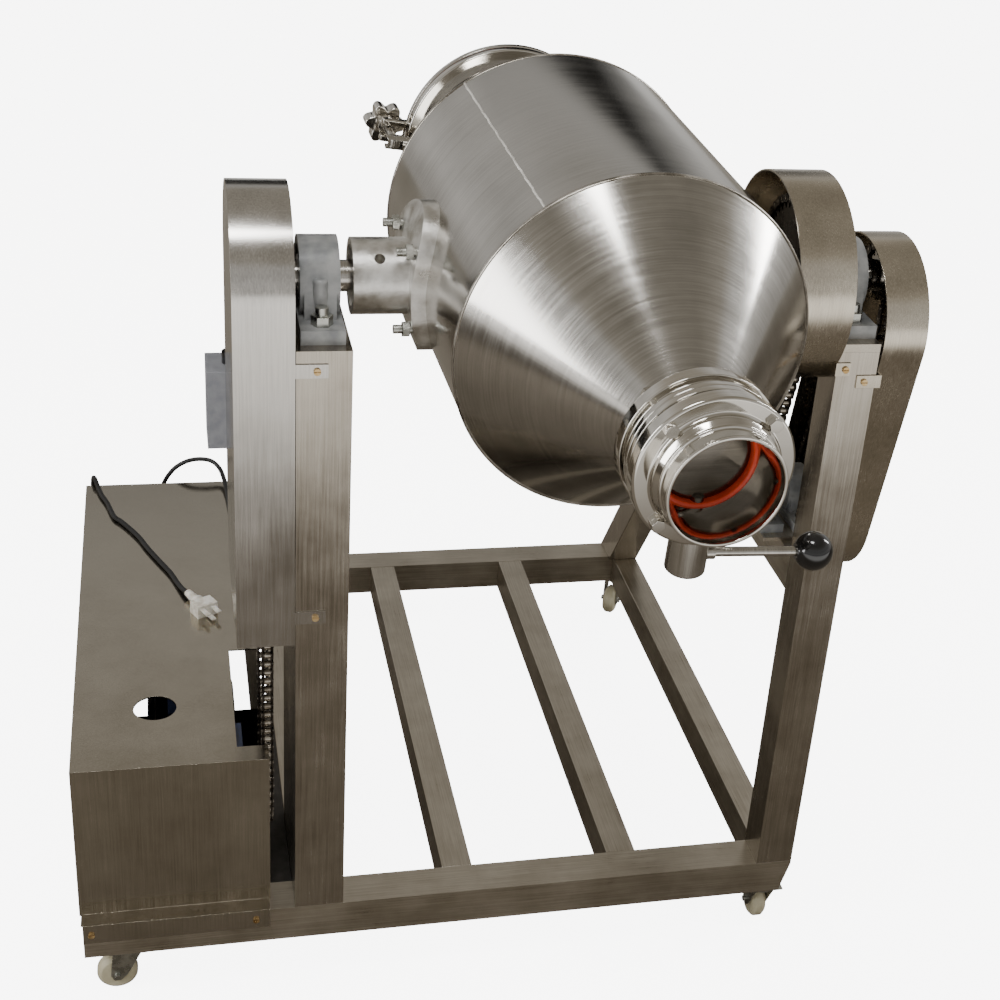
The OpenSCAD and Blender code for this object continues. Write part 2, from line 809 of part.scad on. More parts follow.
// The outline of the outer guard between its two round ends.
module outer_2d(r) {
    step = [outer_low_y - outer_top_y, outer_low_z - outer_top_z];
    translate([outer_top_y, outer_top_z]) rotate(atan2(step[1], step[0]))
        for (at = [0, norm(step)]) translate([at, 0]) circle(r = r, $fn = 96);
    translate([outer_top_y, outer_top_z]) rotate(atan2(step[1], step[0]))
        translate([0, -r]) square([norm(step), 2 * r]);
}

// The long guard outside the right post, open towards the post.
module outer_guard() color(sheet_grey) place() difference() {
    union() {
        difference() {
            along_x(outer_guard_x, outer_guard_w) outer_2d(outer_guard_r);
            along_x(outer_guard_x - over, outer_guard_w - sheet + over)
                outer_2d(outer_guard_r - sheet);
        }
        block([outer_guard_x, -sheet, outer_tab_z - tab_h / 2],
            [outer_guard_x + sheet, axis_y - outer_guard_r + tab_h, outer_tab_z + tab_h / 2]);
        block([frame_len - tab_h * 1.5, -sheet, outer_tab_z - tab_h / 2],
            [outer_guard_x + sheet, 0, outer_tab_z + tab_h / 2]);
    }
    tab_hole(outer_screw_x, outer_tab_z);
}

// Screws that hold the guards and the motor box.
module cover_screws() color(brass) place() {
    for (z = [tab_a, tab_b])
        cover_screw(left_screw_x, axis_y - left_guard_r + sheet, z);
    cover_screw(inner_screw_x, -sheet, inner_tab_z);
    cover_screw(outer_screw_x, -sheet, outer_tab_z);
    for (x = box_screws) cover_screw(x, -sheet, box_screw_z);
}

// One screw: a pan head in front of y and a shank through it into the tube.
module cover_screw(x, y, z) translate([x, y, z]) rotate([90, 0, 0]) {
    difference() {
        cylinder(r = screw_r, h = screw_h);
        translate([-screw_r, -screw_r / 8, screw_h / 2]) cube([2 * screw_r, screw_r / 4, screw_h]);
    }
    translate([0, 0, -2 * sheet]) cylinder(r = screw_r / 2, h = 2 * sheet + over / 2);
}

// The folded motor box: five sides, a peep hole and a notch for the chain.
module motor_box() color(sheet_grey) place() difference() {
    union() {
        difference() {
            block([box_x, box_y, rail_top], [box_right, box_y + box_d, box_top]);
            block([box_x + sheet, box_y + sheet, rail_top - over],
                [box_right - sheet, box_y + box_d - sheet, box_top - sheet]);
        }
        block([box_x + sheet, 0, rail_top], [box_right - sheet, box_y + sheet, rail_top + sheet]);
        block([0, -sheet, rail_top - flange_drop], [box_right - sheet, 0, rail_top + sheet]);
    }
    translate([peep_x, peep_y, box_top - sheet - over]) cylinder(r = peep_r, h = sheet + 2 * over);
    block([notch_x, notch_front, box_top - sheet - over],
        [box_right + over, notch_back, box_top + over]);
    block([box_right - sheet - over, notch_front, box_top - notch_drop],
        [box_right + over, 2 * axis_y - notch_front, box_top + over]);
    for (x = box_screws) tab_hole(x, box_screw_z);
}

// The plate between two rails that the gear box and motor stand on.
module motor_shelf() color(dark_steel) place()
    block([rail_w, shelf_front, rail_top - shelf_t], [inner_rail_x, shelf_back, rail_top]);

// Drive

// The worm gear box, bored for its output shaft.
module gear_box() color(motor_blue) place() difference() {
    union() {
        block([gear_x, gear_y + tube / 2, rail_top], [gear_x + gear_w, gear_y + gear_d, rail_top + gear_h]);
        rod_x(gear_x + gear_w, axis_y, drive_h, gear_flange_r, flange_t / 2);
        block([gear_x - flange_t, gear_y + tube / 2, rail_top],
            [gear_x + gear_w + flange_t, gear_y + gear_d - flange_t, rail_top + flange_t]);
    }
    rod_x(gear_x + gear_w / 4, axis_y, drive_h, gear_shaft_d / 2 + run, gear_w + flange_t);
}

// The motor: a ribbed barrel with its flange, fan cover and terminal box.
module motor() color(motor_blue) place() translate([motor_x, motor_y, motor_z]) {
    rotate([-90, 0, 0]) {
        cylinder(r = motor_r, h = flange_t);
        cylinder(r = motor_r * 0.88, h = motor_l - flange_t);
        translate([0, 0, motor_l * 0.76]) cylinder(r = motor_r * 0.96, h = motor_l * 0.24);
        for (i = [0:fin_count - 1])
            rotate(i * 360 / fin_count) translate([0, -fin_t / 2, flange_t])
                cube([motor_r * 0.96, fin_t, motor_l * 0.7]);
    }
    block([-motor_r * 0.5, motor_l * 0.25, motor_r * 0.7],
        [motor_r * 0.5, motor_l * 0.25 + motor_r * 1.4, motor_r * 1.35]);
}
fin_count = 20;
fin_t = 3;

// The gear box's output shaft with the sprocket keyed on it.
module gear_box_sprocket() color(dark_steel) place() translate([0, axis_y, drive_h]) {
    start = gear_x + gear_w / 4 + gap;
    rod_x(start, 0, 0, gear_shaft_d / 2, left_chain_x + wheel_t - start);
    sprocket(teeth_motor, left_chain_x, gear_shaft_d * 0.72, gear_shaft_d, -1);
}

module left_chain() color(dark_steel) place()
    chain(left_chain_x, [axis_y, axis_h], [axis_y, drive_h], pitch_r(teeth_drum),
        pitch_r(teeth_motor));

module inner_chain() color(dark_steel) place()
    chain(inner_chain_x, [axis_y, axis_h], [lay_y, lay_h], pitch_r(teeth_right),
        pitch_r(teeth_lay));

module outer_chain() color(dark_steel) place()
    chain(outer_chain_x, [lay_y, lay_h], [axis_y, axis_h], pitch_r(teeth_outer),
        pitch_r(teeth_stir));

// The layshaft with its two sprockets.
module layshaft() color(dark_steel) place() translate([0, lay_y, lay_h]) {
    start = inner_chain_x - wheel_t;
    rod_x(start, 0, 0, stir_d / 2, outer_chain_x + wheel_t - start);
    sprocket(teeth_lay, inner_chain_x, stir_d * 0.9, stir_d, -1);
    sprocket(teeth_outer, outer_chain_x, stir_d * 1.2, stir_d, -1);
}

// The stirring shaft through the right trunnion, its blades and its sprocket.
module stirrer() color(steel) place() translate([0, axis_y, axis_h]) {
    rod_x(stir_start, 0, 0, stir_d / 2, stir_end - stir_start);
    for (i = [0:len(arm_places_share) - 1])
        translate([drum_x + arm_places_share[i] * drum_r, 0, 0]) rotate([45 + 90 * i, 0, 0]) {
            cylinder(r = arm_r, h = blade_reach - blade_h / 2);
            translate([0, 0, blade_reach - blade_h]) rotate([0, 0, blade_pitch])
                translate([-blade_w / 2, -blade_t / 2, 0]) cube([blade_w, blade_t, blade_h]);
        }
    sprocket(teeth_stir, outer_chain_x, stir_d * 0.95, stir_d, -1);
}

// Drum

// Half the drum's section: radius against the way to the outlet.
module drum_2d(inset) {
    polygon([[0, -flange_back - inset * over], [mouth_r - inset, -flange_back - inset * over],
        [mouth_r - inset, -back_neck - inset * cone_ease], [drum_r - inset, -drum_back - inset * cone_ease],
        [drum_r - inset, drum_front + inset * cone_ease], [neck_r - inset, front_neck + inset * cone_ease],
        [neck_r - inset, valve_back + inset * over], [0, valve_back + inset * over]]);
}
cone_ease = 0.4;

// The drum: cylinder, two cones, both necks, the mouth flange and its lugs.
module drum_shell() color(steel) place() difference() {
    union() {
        drum_frame() {
            rotate_extrude($fn = 128) drum_2d(0);
            translate([0, 0, -flange_back]) cylinder(r = lid_r, h = rim_t, $fn = 128);
            for (turn = [0, 180]) rotate(turn - swing_turn) lug();
        }
    }
    drum_frame() rotate_extrude($fn = 128) drum_2d(drum_wall);
    trunnion() rod_x(drum_x, 0, 0, shaft_d / 2, drum_r + pad_gap);
}

// One round lug with a level slot and a cross hole for the swing bolt's eye.
module lug() difference() {
    translate([-swing_reach - lug_end, 0, -lug_s]) rotate([0, 90, 0])
        cylinder(r = lug_r, h = swing_reach + lug_end - mouth_r + drum_wall);
    block([-swing_reach - lug_end - over, -eye_slot / 2, -lug_s - lug_r - over],
        [-swing_reach + eye_r + gap, eye_slot / 2, -lug_s + lug_r + over]);
    translate([-swing_reach, lug_r + over, -lug_s]) rotate([90, 0, 0])
        cylinder(r = pin_r + run, h = 2 * lug_r + 2 * over);
}

// A saddle of the flange's outline, rolled to the drum's radius, on one side.
module saddle(side, inner, outer) intersection() {
    trunnion() along_x(side < 0 ? pad_left - saddle_reach : pad_right - saddle_reach,
        2 * saddle_reach) flange_2d();
    drum_frame() difference() {
        translate([0, 0, -drum_r]) cylinder(r = outer, h = 2 * drum_r, $fn = 128);
        translate([0, 0, -drum_r - over]) cylinder(r = inner, h = 2 * drum_r + 2 * over, $fn = 128);
    }
}

// The saddle pads welded to the drum's sides, and the bush inside the left
// wall that steadies the stirring shaft.
module trunnion_pads() color(steel) place() {
    difference() {
        for (side = [-1, 1]) saddle(side, drum_r, drum_r + pad_gap);
        trunnion() {
            rod_x(drum_x, 0, 0, shaft_d / 2, drum_r + 2 * pad_gap);
            stud_holes(left_nut_x, stud_nut_h + 2 * pad_gap + stud_in);
            stud_holes(right_nut_x - 2 * pad_gap - stud_in, 2 * pad_gap + stud_in);
        }
    }
    difference() {
        trunnion() rod_x(drum_x - drum_r + drum_wall - pad_gap, 0, 0, bush_r, pad_gap + 2 * bush_l);
        drum_frame() difference() {
            translate([0, 0, -drum_r]) cylinder(r = drum_r + tube, h = 2 * drum_r, $fn = 128);
            translate([0, 0, -drum_r]) cylinder(r = drum_r - drum_wall, h = 2 * drum_r, $fn = 128);
        }
        trunnion() rod_x(stir_start - over, 0, 0, stir_d / 2 + run, drum_r);
    }
}

// The flange outline: straight sides with round ends above and below.
module flange_2d() {
    straight = flange_h - flange_w;
    for (side = [-1, 1]) translate([0, side * straight / 2]) circle(d = flange_w, $fn = 96);
    translate([-flange_w / 2, -straight / 2]) square([flange_w, straight]);
}

module stud_holes(x, l)
    for (a = [-1, 1]) for (b = [-1, 1])
        rod_x(x, a * stud_y, b * stud_z, stud_d / 2 + run, l);

// The seal ring between the stirring shaft and the drum's right wall.
module shaft_seal() color(silicone) place() trunnion() difference() {
    rod_x(pad_right - flange_t, 0, 0, shaft_d / 2, flange_t - over);
    rod_x(pad_right - 2 * flange_t, 0, 0, stir_d / 2 + run, 3 * flange_t);
}

// The left hub: a tube with a recessed end, welded to its flange.
// What lies inside the pads' outer face.
module rolled_face() drum_frame() translate([0, 0, -drum_r])
    cylinder(r = drum_r + pad_gap, h = 2 * drum_r, $fn = 128);

module left_hub() color(bright) place() difference() {
    union() {
        trunnion() rod_x(hub_start, 0, 0, hub_d / 2, left_plate_x - hub_start + hub_sink);
        saddle(-1, drum_r + pad_gap, drum_r + pad_gap + flange_t);
    }
    rolled_face();
    trunnion() {
        rod_x(hub_start - over, 0, 0, hub_d / 2 - hub_wall, hub_recess + over);
        rod_x(hub_start - over, 0, 0, shaft_d / 2, left_plate_x + flange_t - hub_start - over);
        stud_holes(left_nut_x - over, stud_nut_h + 2 * flange_t);
        translate([(hub_start + left_plate_x) / 2, 0, 0]) rotate([hub_screw_turn, 0, 0])
            cylinder(r = hub_screw_r, h = hub_d);
    }
}

module left_shaft() color(bright) place() trunnion()
    rod_x(left_shaft_start, 0, 0, shaft_d / 2, left_plate_x + flange_t - 2 * over - left_shaft_start);

module left_sprocket() color(dark_steel) place() trunnion()
    sprocket(teeth_drum, left_chain_x, shaft_d * 0.85, shaft_d, 1);

// The eight flange studs with their nuts.
module hub_studs() color(bright) place() trunnion()
    for (a = [-1, 1]) for (b = [-1, 1])
        translate([-a * stud_y * tan(drum_skew), a * stud_y, b * stud_z]) {
            rod_x(left_nut_x - stud_out, 0, 0, stud_d / 2, stud_out + stud_nut_h + stud_in);
            stud_nut(left_nut_x);
            rod_x(right_nut_x - stud_in, 0, 0, stud_d / 2, stud_in + stud_nut_h + stud_out);
            stud_nut(right_nut_x);
        }

module stud_nut(x) translate([x, 0, 0]) rotate([0, 90, 0])
    cylinder(r = stud_nut_r, h = stud_nut_h, $fn = 6);

// The right hub: a flange and a hollow shaft that the stirring shaft runs in.
module right_hub() color(bright) place() difference() {
    union() {
        saddle(1, drum_r + pad_gap, drum_r + pad_gap + flange_t);
        trunnion() {
            rod_x(pad_right + flange_t - hub_sink, 0, 0, hub_d / 2 - hub_wall, hub_sink + short_hub);
            rod_x(pad_right + run, 0, 0, shaft_d / 2, right_shaft_end - pad_right - run);
        }
    }
    rolled_face();
    trunnion() {
        rod_x(pad_right - over, 0, 0, stir_d / 2 + run, right_shaft_end - pad_right + 2 * over);
        stud_holes(pad_right - 2 * flange_t, 3 * flange_t + stud_nut_h);
    }
}

module right_sprocket() color(dark_steel) place() trunnion()
    sprocket(teeth_right, inner_chain_x, shaft_d * 0.85, shaft_d, 1);

// Outlet valve

module turn_2d(points) rotate_extrude($fn = 96) polygon(points);

// The hole for the valve's stem, through both halves of the body.
module stem_hole() rotate([0, 0, stem_turn]) translate([0, stem_top + gap, valve_s])
    rotate([90, 0, 0]) cylinder(r = stem_d / 2 + run, h = stem_top + gap + flange_b_r + over);

module valve_bolt_holes() for (i = [0:3])
    rotate(valve_bolt_turn + 90 * i) translate([valve_bolt_r, 0, valve_back - over])
        cylinder(r = valve_bolt_d / 2 + run, h = flange_b_end - valve_back + 2 * over);

// The rear half of the valve's body, welded to the drum's neck.
module valve_body() color(bright) place() drum_frame() difference() {
    b = valve_bore / 2;
    turn_2d([[b, valve_back], [flange_a_r, valve_back], [flange_a_r, valve_back + body_step],
        [groove_r, valve_back + body_step], [groove_r, valve_back + body_step + groove_w],
        [mid_r, valve_back + body_step + groove_w], [mid_r, valve_s],
        [seat_out, valve_s], [seat_out, valve_s - seat_w / 2], [b, valve_s - seat_w / 2]]);
    stem_hole();
    valve_bolt_holes();
}

// The front half of the valve's body, with the outlet and its rim.
module valve_outlet() color(bright) place() drum_frame() difference() {
    b = valve_bore / 2;
    turn_2d([[seat_out, valve_s], [mid_r, valve_s], [mid_r, valve_s + groove_w],
        [groove_r, valve_s + groove_w], [groove_r, flange_b_end - body_step],
        [flange_b_r, flange_b_end - body_step], [flange_b_r, flange_b_end],
        [collar_r, flange_b_end], [collar_r, flange_b_end + rim_w],
        [shoulder_r, shoulder_s], [rim_neck_r, shoulder_s + rim_w / 2],
        [rim_neck_r, outlet_s - rim_w], [rim_r, outlet_s - rim_w / 2], [rim_r, outlet_s],
        [rim_r - outlet_wall, outlet_s], [b, shoulder_s], [b, valve_s + seat_w / 2],
        [seat_out, valve_s + seat_w / 2]]);
    stem_hole();
    valve_bolt_holes();
}

// The soft seat ring between the halves, seen as a coloured band in the bore.
module valve_seat() color(silicone) place() drum_frame() difference() {
    turn_2d([[seat_in, valve_s - seat_w / 2], [seat_out, valve_s - seat_w / 2],
        [seat_out, valve_s + seat_w / 2], [seat_in, valve_s + seat_w / 2]]);
    stem_hole();
}

// Four through bolts with a hexagon at each end.
module valve_bolts() color(bright) place() drum_frame() for (i = [0:3])
    rotate(valve_bolt_turn + 90 * i) translate([valve_bolt_r, 0, valve_back - valve_head_h]) {
        length = flange_b_end - valve_back + 2 * valve_head_h;
        cylinder(r = valve_bolt_d / 2, h = length);
        cylinder(r = valve_head_r, h = valve_head_h, $fn = 6);
        translate([0, 0, length - valve_head_h])
            cylinder(r = valve_head_r, h = valve_head_h, $fn = 6);
    }

// The closing disc on its stem, which runs out below to the handle.
module valve_disc() color(bright) place() drum_frame() translate([0, 0, valve_s])
    rotate([0, 0, stem_turn]) {
        intersection() {
            translate([0, 0, -disc_t / 2]) cylinder(r = disc_r, h = disc_t, $fn = 96);
            sphere(r = disc_r, $fn = 96);
        }
        translate([0, stem_top, 0]) rotate([90, 0, 0]) cylinder(r = stem_d / 2, h = stem_in);
        translate([0, stem_in - stem_top, 0]) rotate([90, 0, 0])
            cylinder(r = stem_d / 2, h = lever_hub_start - stem_top + stem_in);
    }

// The handle: a hub on the stem and the rod that carries the ball.
module valve_handle() color(bright) place() drum_frame() translate([0, 0, valve_s])
    rotate([0, 0, stem_turn]) rotate([0, -lever_skew, 0]) {
        translate([0, -lever_hub_start, 0]) rotate([90, 0, 0])
            cylinder(d = lever_hub_d, h = lever_hub_end - lever_hub_start);
        translate([0, -lever_z, 0]) rotate([0, 90, 0]) cylinder(d = lever_d, h = lever_l);
    }

module ball_knob() color(black) place() drum_frame() translate([0, 0, valve_s])
    rotate([0, 0, stem_turn]) rotate([0, -lever_skew, 0]) translate([lever_l, -lever_z, 0])
        rotate([0, 90, 0]) rotate_extrude($fn = 96) difference() {
            intersection() {
                circle(d = ball_d, $fn = 96);
                translate([0, -ball_d * 0.46]) square([ball_d, ball_d]);
            }
            translate([0, -ball_d]) square([lever_d / 2, ball_d]);
        }

// Lid

// The dished lid with two pairs of prongs for the swing bolts.
module lid() color(bright) place() drum_frame() {
    turn_2d([[0, -lid_back - dish + sheet], [dish_r * 0.6, -lid_back - dish * 0.8 + sheet],
        [dish_r, -lid_face], [lid_r, -lid_face], [lid_r, -lid_back + rim_round],
        [lid_r - rim_round, -lid_back], [dish_r + rim_round, -lid_back],
        [dish_r * 0.6, -lid_back - dish], [0, -lid_back - dish - sheet]]);
    for (turn = [0, 180]) rotate(turn - swing_turn) difference() {
        block([-swing_reach - ear_out, -ear_w / 2, -lid_back], [-lid_r + rim_round, ear_w / 2, -lid_face]);
        block([-swing_reach - ear_out - over, -ear_slot / 2, -lid_back - over],
            [-lid_r + rim_round + over, ear_slot / 2, -lid_face + over]);
        translate([0, 0, -lid_back - over]) cylinder(r = lid_r + gap, h = rim_t + 2 * over);
    }
}

module lid_gasket() color(silicone) place() drum_frame()
    turn_2d([[gasket_in, -lid_face], [gasket_out, -lid_face], [gasket_out, -flange_back],
        [gasket_in, -flange_back]]);

// One swing bolt: an eye on a pin in the lug, and a shank through the ear.
module swing_bolt(turn) color(steel) place() drum_frame() rotate(turn - swing_turn)
    translate([-swing_reach, 0, -lug_s]) {
        translate([0, eye_t / 2, 0]) rotate([90, 0, 0]) cylinder(r = eye_r, h = eye_t);
        translate([0, lug_r, 0]) rotate([90, 0, 0]) cylinder(r = pin_r, h = 2 * lug_r);
        block([-swing_d / 2 + over, -eye_t / 2, -neck_l - over],
            [swing_d / 2 - over, eye_t / 2, 0]);
        translate([0, 0, -(bolt_end - lug_s)])
            cylinder(d = swing_d, h = bolt_end - lug_s - neck_l);
    }
module swing_bolt_left() swing_bolt(0);
module swing_bolt_right() swing_bolt(180);

// The star knob: a boss, a hub and six round lobes.
module star_knob(turn) color(bright) place() drum_frame() rotate(turn - swing_turn)
    translate([-swing_reach, 0, -star_s]) mirror([0, 0, 1]) difference() {
        union() {
            cylinder(r = star_boss_r, h = star_boss_h + over);
            translate([0, 0, star_boss_h]) cylinder(r = star_hub_r, h = star_h);
            for (i = [0:5]) rotate(60 * i + lobe_turn)
                translate([star_d / 2 - lobe_r, 0, star_boss_h + 2 * over])
                    cylinder(r = lobe_r, h = star_h - 4 * over);
        }
        translate([0, 0, -over]) cylinder(r = swing_d / 2 + run, h = star_boss_h + star_h + 2 * over);
    }
module star_knob_left() star_knob(0);
module star_knob_right() star_knob(180);

// Castors

module castor_plates() color(bright) place() for (row = castor_rows)
    translate([row[0], row[1], ride_h - plate_thick]) {
        translate([-plate_side / 2, -plate_side / 2, 0]) cube([plate_side, plate_side, plate_thick]);
        translate([0, 0, -2 * plate_thick]) cylinder(r = plate_side * 0.4, h = 2 * plate_thick);
    }

// One fork: a crown under the swivel, two cheeks and the wheel's axle.
module castor_fork(i) color(bright) place() translate([castor_rows[i][0], castor_rows[i][1], 0])
    rotate(castor_rows[i][2]) {
        crown = ride_h - 3 * plate_thick - gap;
        cylinder_at(crown - fork_t);
        for (side = [-1, 1])
            translate([0, side * (fork_w - fork_t) / 2 + fork_t / 2, 0]) rotate([90, 0, 0])
                linear_extrude(fork_t) polygon([[-plate_side * 0.36, crown], [plate_side * 0.42, crown],
                    [trail + 2 * axle_r, wheel_r], [trail + axle_r, wheel_r - 2 * axle_r],
                    [trail - axle_r, wheel_r - 2 * axle_r], [trail - 3 * axle_r, wheel_r]]);
        translate([trail, fork_w / 2 + axle_r, wheel_r]) rotate([90, 0, 0])
            cylinder(r = axle_r, h = fork_w + 2 * axle_r);
    }
module cylinder_at(z) translate([0, 0, z]) cylinder(r = plate_side * 0.38, h = fork_t);

module castor_fork_front_left() castor_fork(0);
module castor_fork_front_right() castor_fork(1);
module castor_fork_rear_right() castor_fork(2);
module castor_fork_rear_left() castor_fork(3);

// One wheel, barrel shaped, bored for its axle.
module wheel(i) color(cream) place() translate([castor_rows[i][0], castor_rows[i][1], 0])
    rotate(castor_rows[i][2]) translate([trail, 0, wheel_r]) rotate([90, 0, 0])
        rotate_extrude($fn = 64) polygon([[axle_r + run, -wheel_w / 2],
            [wheel_r * 0.8, -wheel_w / 2], [wheel_r, -wheel_w / 4], [wheel_r, wheel_w / 4],
            [wheel_r * 0.8, wheel_w / 2], [axle_r + run, wheel_w / 2]]);
module wheel_front_left() wheel(0);
module wheel_front_right() wheel(1);
module wheel_rear_right() wheel(2);
module wheel_rear_left() wheel(3);

// Switch box and cord

// The switch box on the guard's back, with the gland below it.
module switch_box() color(cast_grey) place() {
    difference() {
        block([switch_x, switch_y, switch_z],
            [switch_x + switch_w, switch_y + switch_d, switch_z + switch_h]);
        block([switch_x + switch_wall, switch_y + switch_wall, switch_z + switch_wall],
            [switch_x + switch_w - switch_wall, switch_y + switch_d - switch_wall,
            switch_z + switch_h - switch_wall]);
        translate([gland_x, gland_y, switch_z + switch_h - switch_wall - over])
            cylinder(r = switch_knob_r / 2 + run, h = switch_wall + 2 * over);
    }
    translate([gland_x, gland_y, switch_z - gland_l]) cylinder(r = gland_r, h = gland_l);
}

module switch_knob() color(black) place()
    translate([gland_x, gland_y, switch_z + switch_h + gap]) {
        cylinder(r = switch_knob_r, h = switch_knob_h - gap);
        translate([-switch_knob_r, -gap, switch_knob_h - over])
            cube([switch_knob_r, 2 * gap, over]);
        translate([0, 0, -switch_wall]) cylinder(r = switch_knob_r / 2, h = switch_wall + over);
    }

// The cord: rings along the route, carried round each bend without twist.
function unit(v) = v / norm(v);
function cord_way(i) = let (n = len(cord_route) - 1)
    i == 0 ? unit(cord_route[1] - cord_route[0]) :
    i == n ? unit(cord_route[n] - cord_route[n - 1]) :
    unit(unit(cord_route[i + 1] - cord_route[i]) + unit(cord_route[i] - cord_route[i - 1]));
function flat(v, way) = unit(v - (v * way) * way);
function cord_sides_list(i, side) = i == len(cord_route) ? [] :
    let (s = flat(side, cord_way(i))) concat([s], cord_sides_list(i + 1, s));

module power_cord() color(black) place() {
    n = len(cord_route);
    m = cord_sides;
    sides_at = cord_sides_list(0, [1, 0, 0]);
    points = [for (i = [0:n - 1]) let (w = cord_way(i), s = sides_at[i], u = cross(w, s))
        for (k = [0:m - 1]) cord_route[i] + cord_d / 2 * (cos(360 * k / m) * s + sin(360 * k / m) * u)];
    walls = [for (i = [0:n - 2]) for (k = [0:m - 1]) let (a = i * m + k, b = i * m + (k + 1) % m)
        each [[a, b + m, b], [a, a + m, b + m]]];
    start = [for (k = [1:m - 2]) [0, k, k + 1]];
    end = [for (k = [1:m - 2]) [(n - 1) * m, (n - 1) * m + k + 1, (n - 1) * m + k]];
    echo(cord_length = cord_sum(0));
    polyhedron(points = points, faces = concat(walls, start, end));
}
function cord_sum(i) = i == len(cord_route) - 1 ? 0 :
    norm(cord_route[i + 1] - cord_route[i]) + cord_sum(i + 1);

// The plug: strain relief, body and three pins, lying on the motor box.
module plug() color(cream) place() translate(plug_end) rotate([0, 0, atan2(plug_way[1], plug_way[0])])
    rotate([0, 90, 0]) {
        cylinder(r1 = cord_d * 0.75, r2 = cord_d * 0.95, h = relief_l, $fn = 32);
        translate([0, 0, relief_l]) cylinder(r = plug_t / 2, h = plug_head - relief_l + over);
        translate([-plug_t / 2, -plug_w / 2, plug_head]) cube([plug_t, plug_w, plug_l]);
        for (p = plug_pins)
            translate([p[0] - pin_t / 2, p[1] - pin_w / 2, plug_head + plug_l])
                cube([pin_t, pin_w, pin_l]);
    }

front_rail();
rear_rail();
floor_rails();
left_post();
right_post();
rear_leg();
side_beam();
bearing_brackets();
trunnion_bearings();
layshaft_bearings();
frame_bolts();
motor_shelf();
left_guard();
inner_guard();
outer_guard();
cover_screws();
motor_box();
motor();
gear_box();
gear_box_sprocket();
left_chain();
inner_chain();
outer_chain();
switch_box();
switch_knob();
power_cord();
plug();
castor_plates();
castor_fork_front_left();
castor_fork_front_right();
castor_fork_rear_left();
castor_fork_rear_right();
wheel_front_left();
wheel_front_right();
wheel_rear_left();
wheel_rear_right();
drum_shell();
trunnion_pads();
shaft_seal();
left_hub();
left_shaft();
left_sprocket();
hub_studs();
right_hub();
right_sprocket();
valve_body();
valve_outlet();
valve_seat();
valve_bolts();
valve_disc();
valve_handle();
ball_knob();
lid();
lid_gasket();
swing_bolt_left();
swing_bolt_right();
star_knob_left();
star_knob_right();
layshaft();
stirrer();
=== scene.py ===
# %% [markdown]
# A drum mixer stands on a castered frame of square stainless tube.
# The imported CAD model gives every piece its true place and size.
# This script keeps those places and gives each piece the edges, the small
# detail and the finish that the real machine shows.
# First the frame is loaded.

# %% Load the machine's frame
import math
import bmesh
import bpy
from mathutils import Matrix, Vector


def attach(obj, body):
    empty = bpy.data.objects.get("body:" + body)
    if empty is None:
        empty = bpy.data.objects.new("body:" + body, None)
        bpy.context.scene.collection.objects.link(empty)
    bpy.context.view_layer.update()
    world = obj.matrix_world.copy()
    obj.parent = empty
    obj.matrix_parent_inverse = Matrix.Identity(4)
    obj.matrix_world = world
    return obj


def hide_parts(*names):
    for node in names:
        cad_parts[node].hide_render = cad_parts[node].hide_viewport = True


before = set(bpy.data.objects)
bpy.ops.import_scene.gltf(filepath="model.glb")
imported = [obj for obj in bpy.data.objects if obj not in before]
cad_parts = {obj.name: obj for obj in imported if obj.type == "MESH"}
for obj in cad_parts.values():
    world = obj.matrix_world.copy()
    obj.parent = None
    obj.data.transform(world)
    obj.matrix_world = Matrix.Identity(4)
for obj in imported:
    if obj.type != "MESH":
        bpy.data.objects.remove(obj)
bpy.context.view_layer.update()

# %% [markdown]
# The CAD was drawn from the frame's front left corner, in millimetres.
# place() turns such a point into the scene's metres. Two matrices give the
# tilted trunnion axis and the drum's own axes: Z towards the outlet, Y up.

# %% Places in the machine
MIDDLE = Vector((487.0, 258.698, 0.0))
AXIS_Y, AXIS_Z, DRUM_X = 100.0, 922.0, 590.5
TILT, TWIST = math.radians(4.8), math.radians(3.2)
QUARTER = math.radians(90)
MM = 0.001


def place(x, y, z):
    return (Vector((x, y, z)) - MIDDLE) * MM


SHIFT = Matrix.Translation(place(0, 0, 0))
TRUNNION = Matrix.Translation(place(0, AXIS_Y, AXIS_Z)) @ Matrix.Rotation(TILT, 4, "X")
DRUM = (TRUNNION @ Matrix.Translation((DRUM_X * MM, 0, 0))
        @ Matrix.Rotation(TWIST, 4, "Z") @ Matrix.Rotation(QUARTER, 4, "X"))
print("drum centre", DRUM.translation)

# %% [markdown]
# The photograph was taken from the left front, a little above the drum and
# with the camera rolled slightly. The machine stands left of the lens's own
# middle, which a small sideways shift of the sensor gives.

# %% Camera
CAMERA_AT = (125.4, -1642.9, 1564.8)
CAMERA_TURN = (62.668, -4.884, -13.675)
camera_data = bpy.data.cameras.new("photo_camera")
camera_data.lens = 60.0
camera_data.sensor_width = 36.0
camera_data.shift_x = -0.1
camera_data.clip_end = 60.0
camera = bpy.data.objects.new("photo_camera", camera_data)
camera.location = place(*CAMERA_AT)
camera.rotation_euler = [math.radians(a) for a in CAMERA_TURN]
bpy.context.scene.collection.objects.link(camera)
bpy.context.scene.camera = camera
print("camera at", camera.location)

# %% [markdown]
# Every piece is finished in the same few moves: leave edit mode, take the
# piece alone, and run the operator on it. These helpers say that once.

# %% Selecting and finishing helpers


def take(piece):
    if bpy.context.object and bpy.context.object.mode != "OBJECT":
        bpy.ops.object.mode_set(mode="OBJECT")
    bpy.ops.object.select_all(action="DESELECT")
    piece.select_set(True)
    bpy.context.view_layer.objects.active = piece
    return piece


def edit(piece, mode="VERT"):
    take(piece)
    bpy.ops.object.mode_set(mode="EDIT")
    bpy.ops.mesh.select_mode(type=mode)
    bpy.ops.mesh.select_all(action="SELECT")


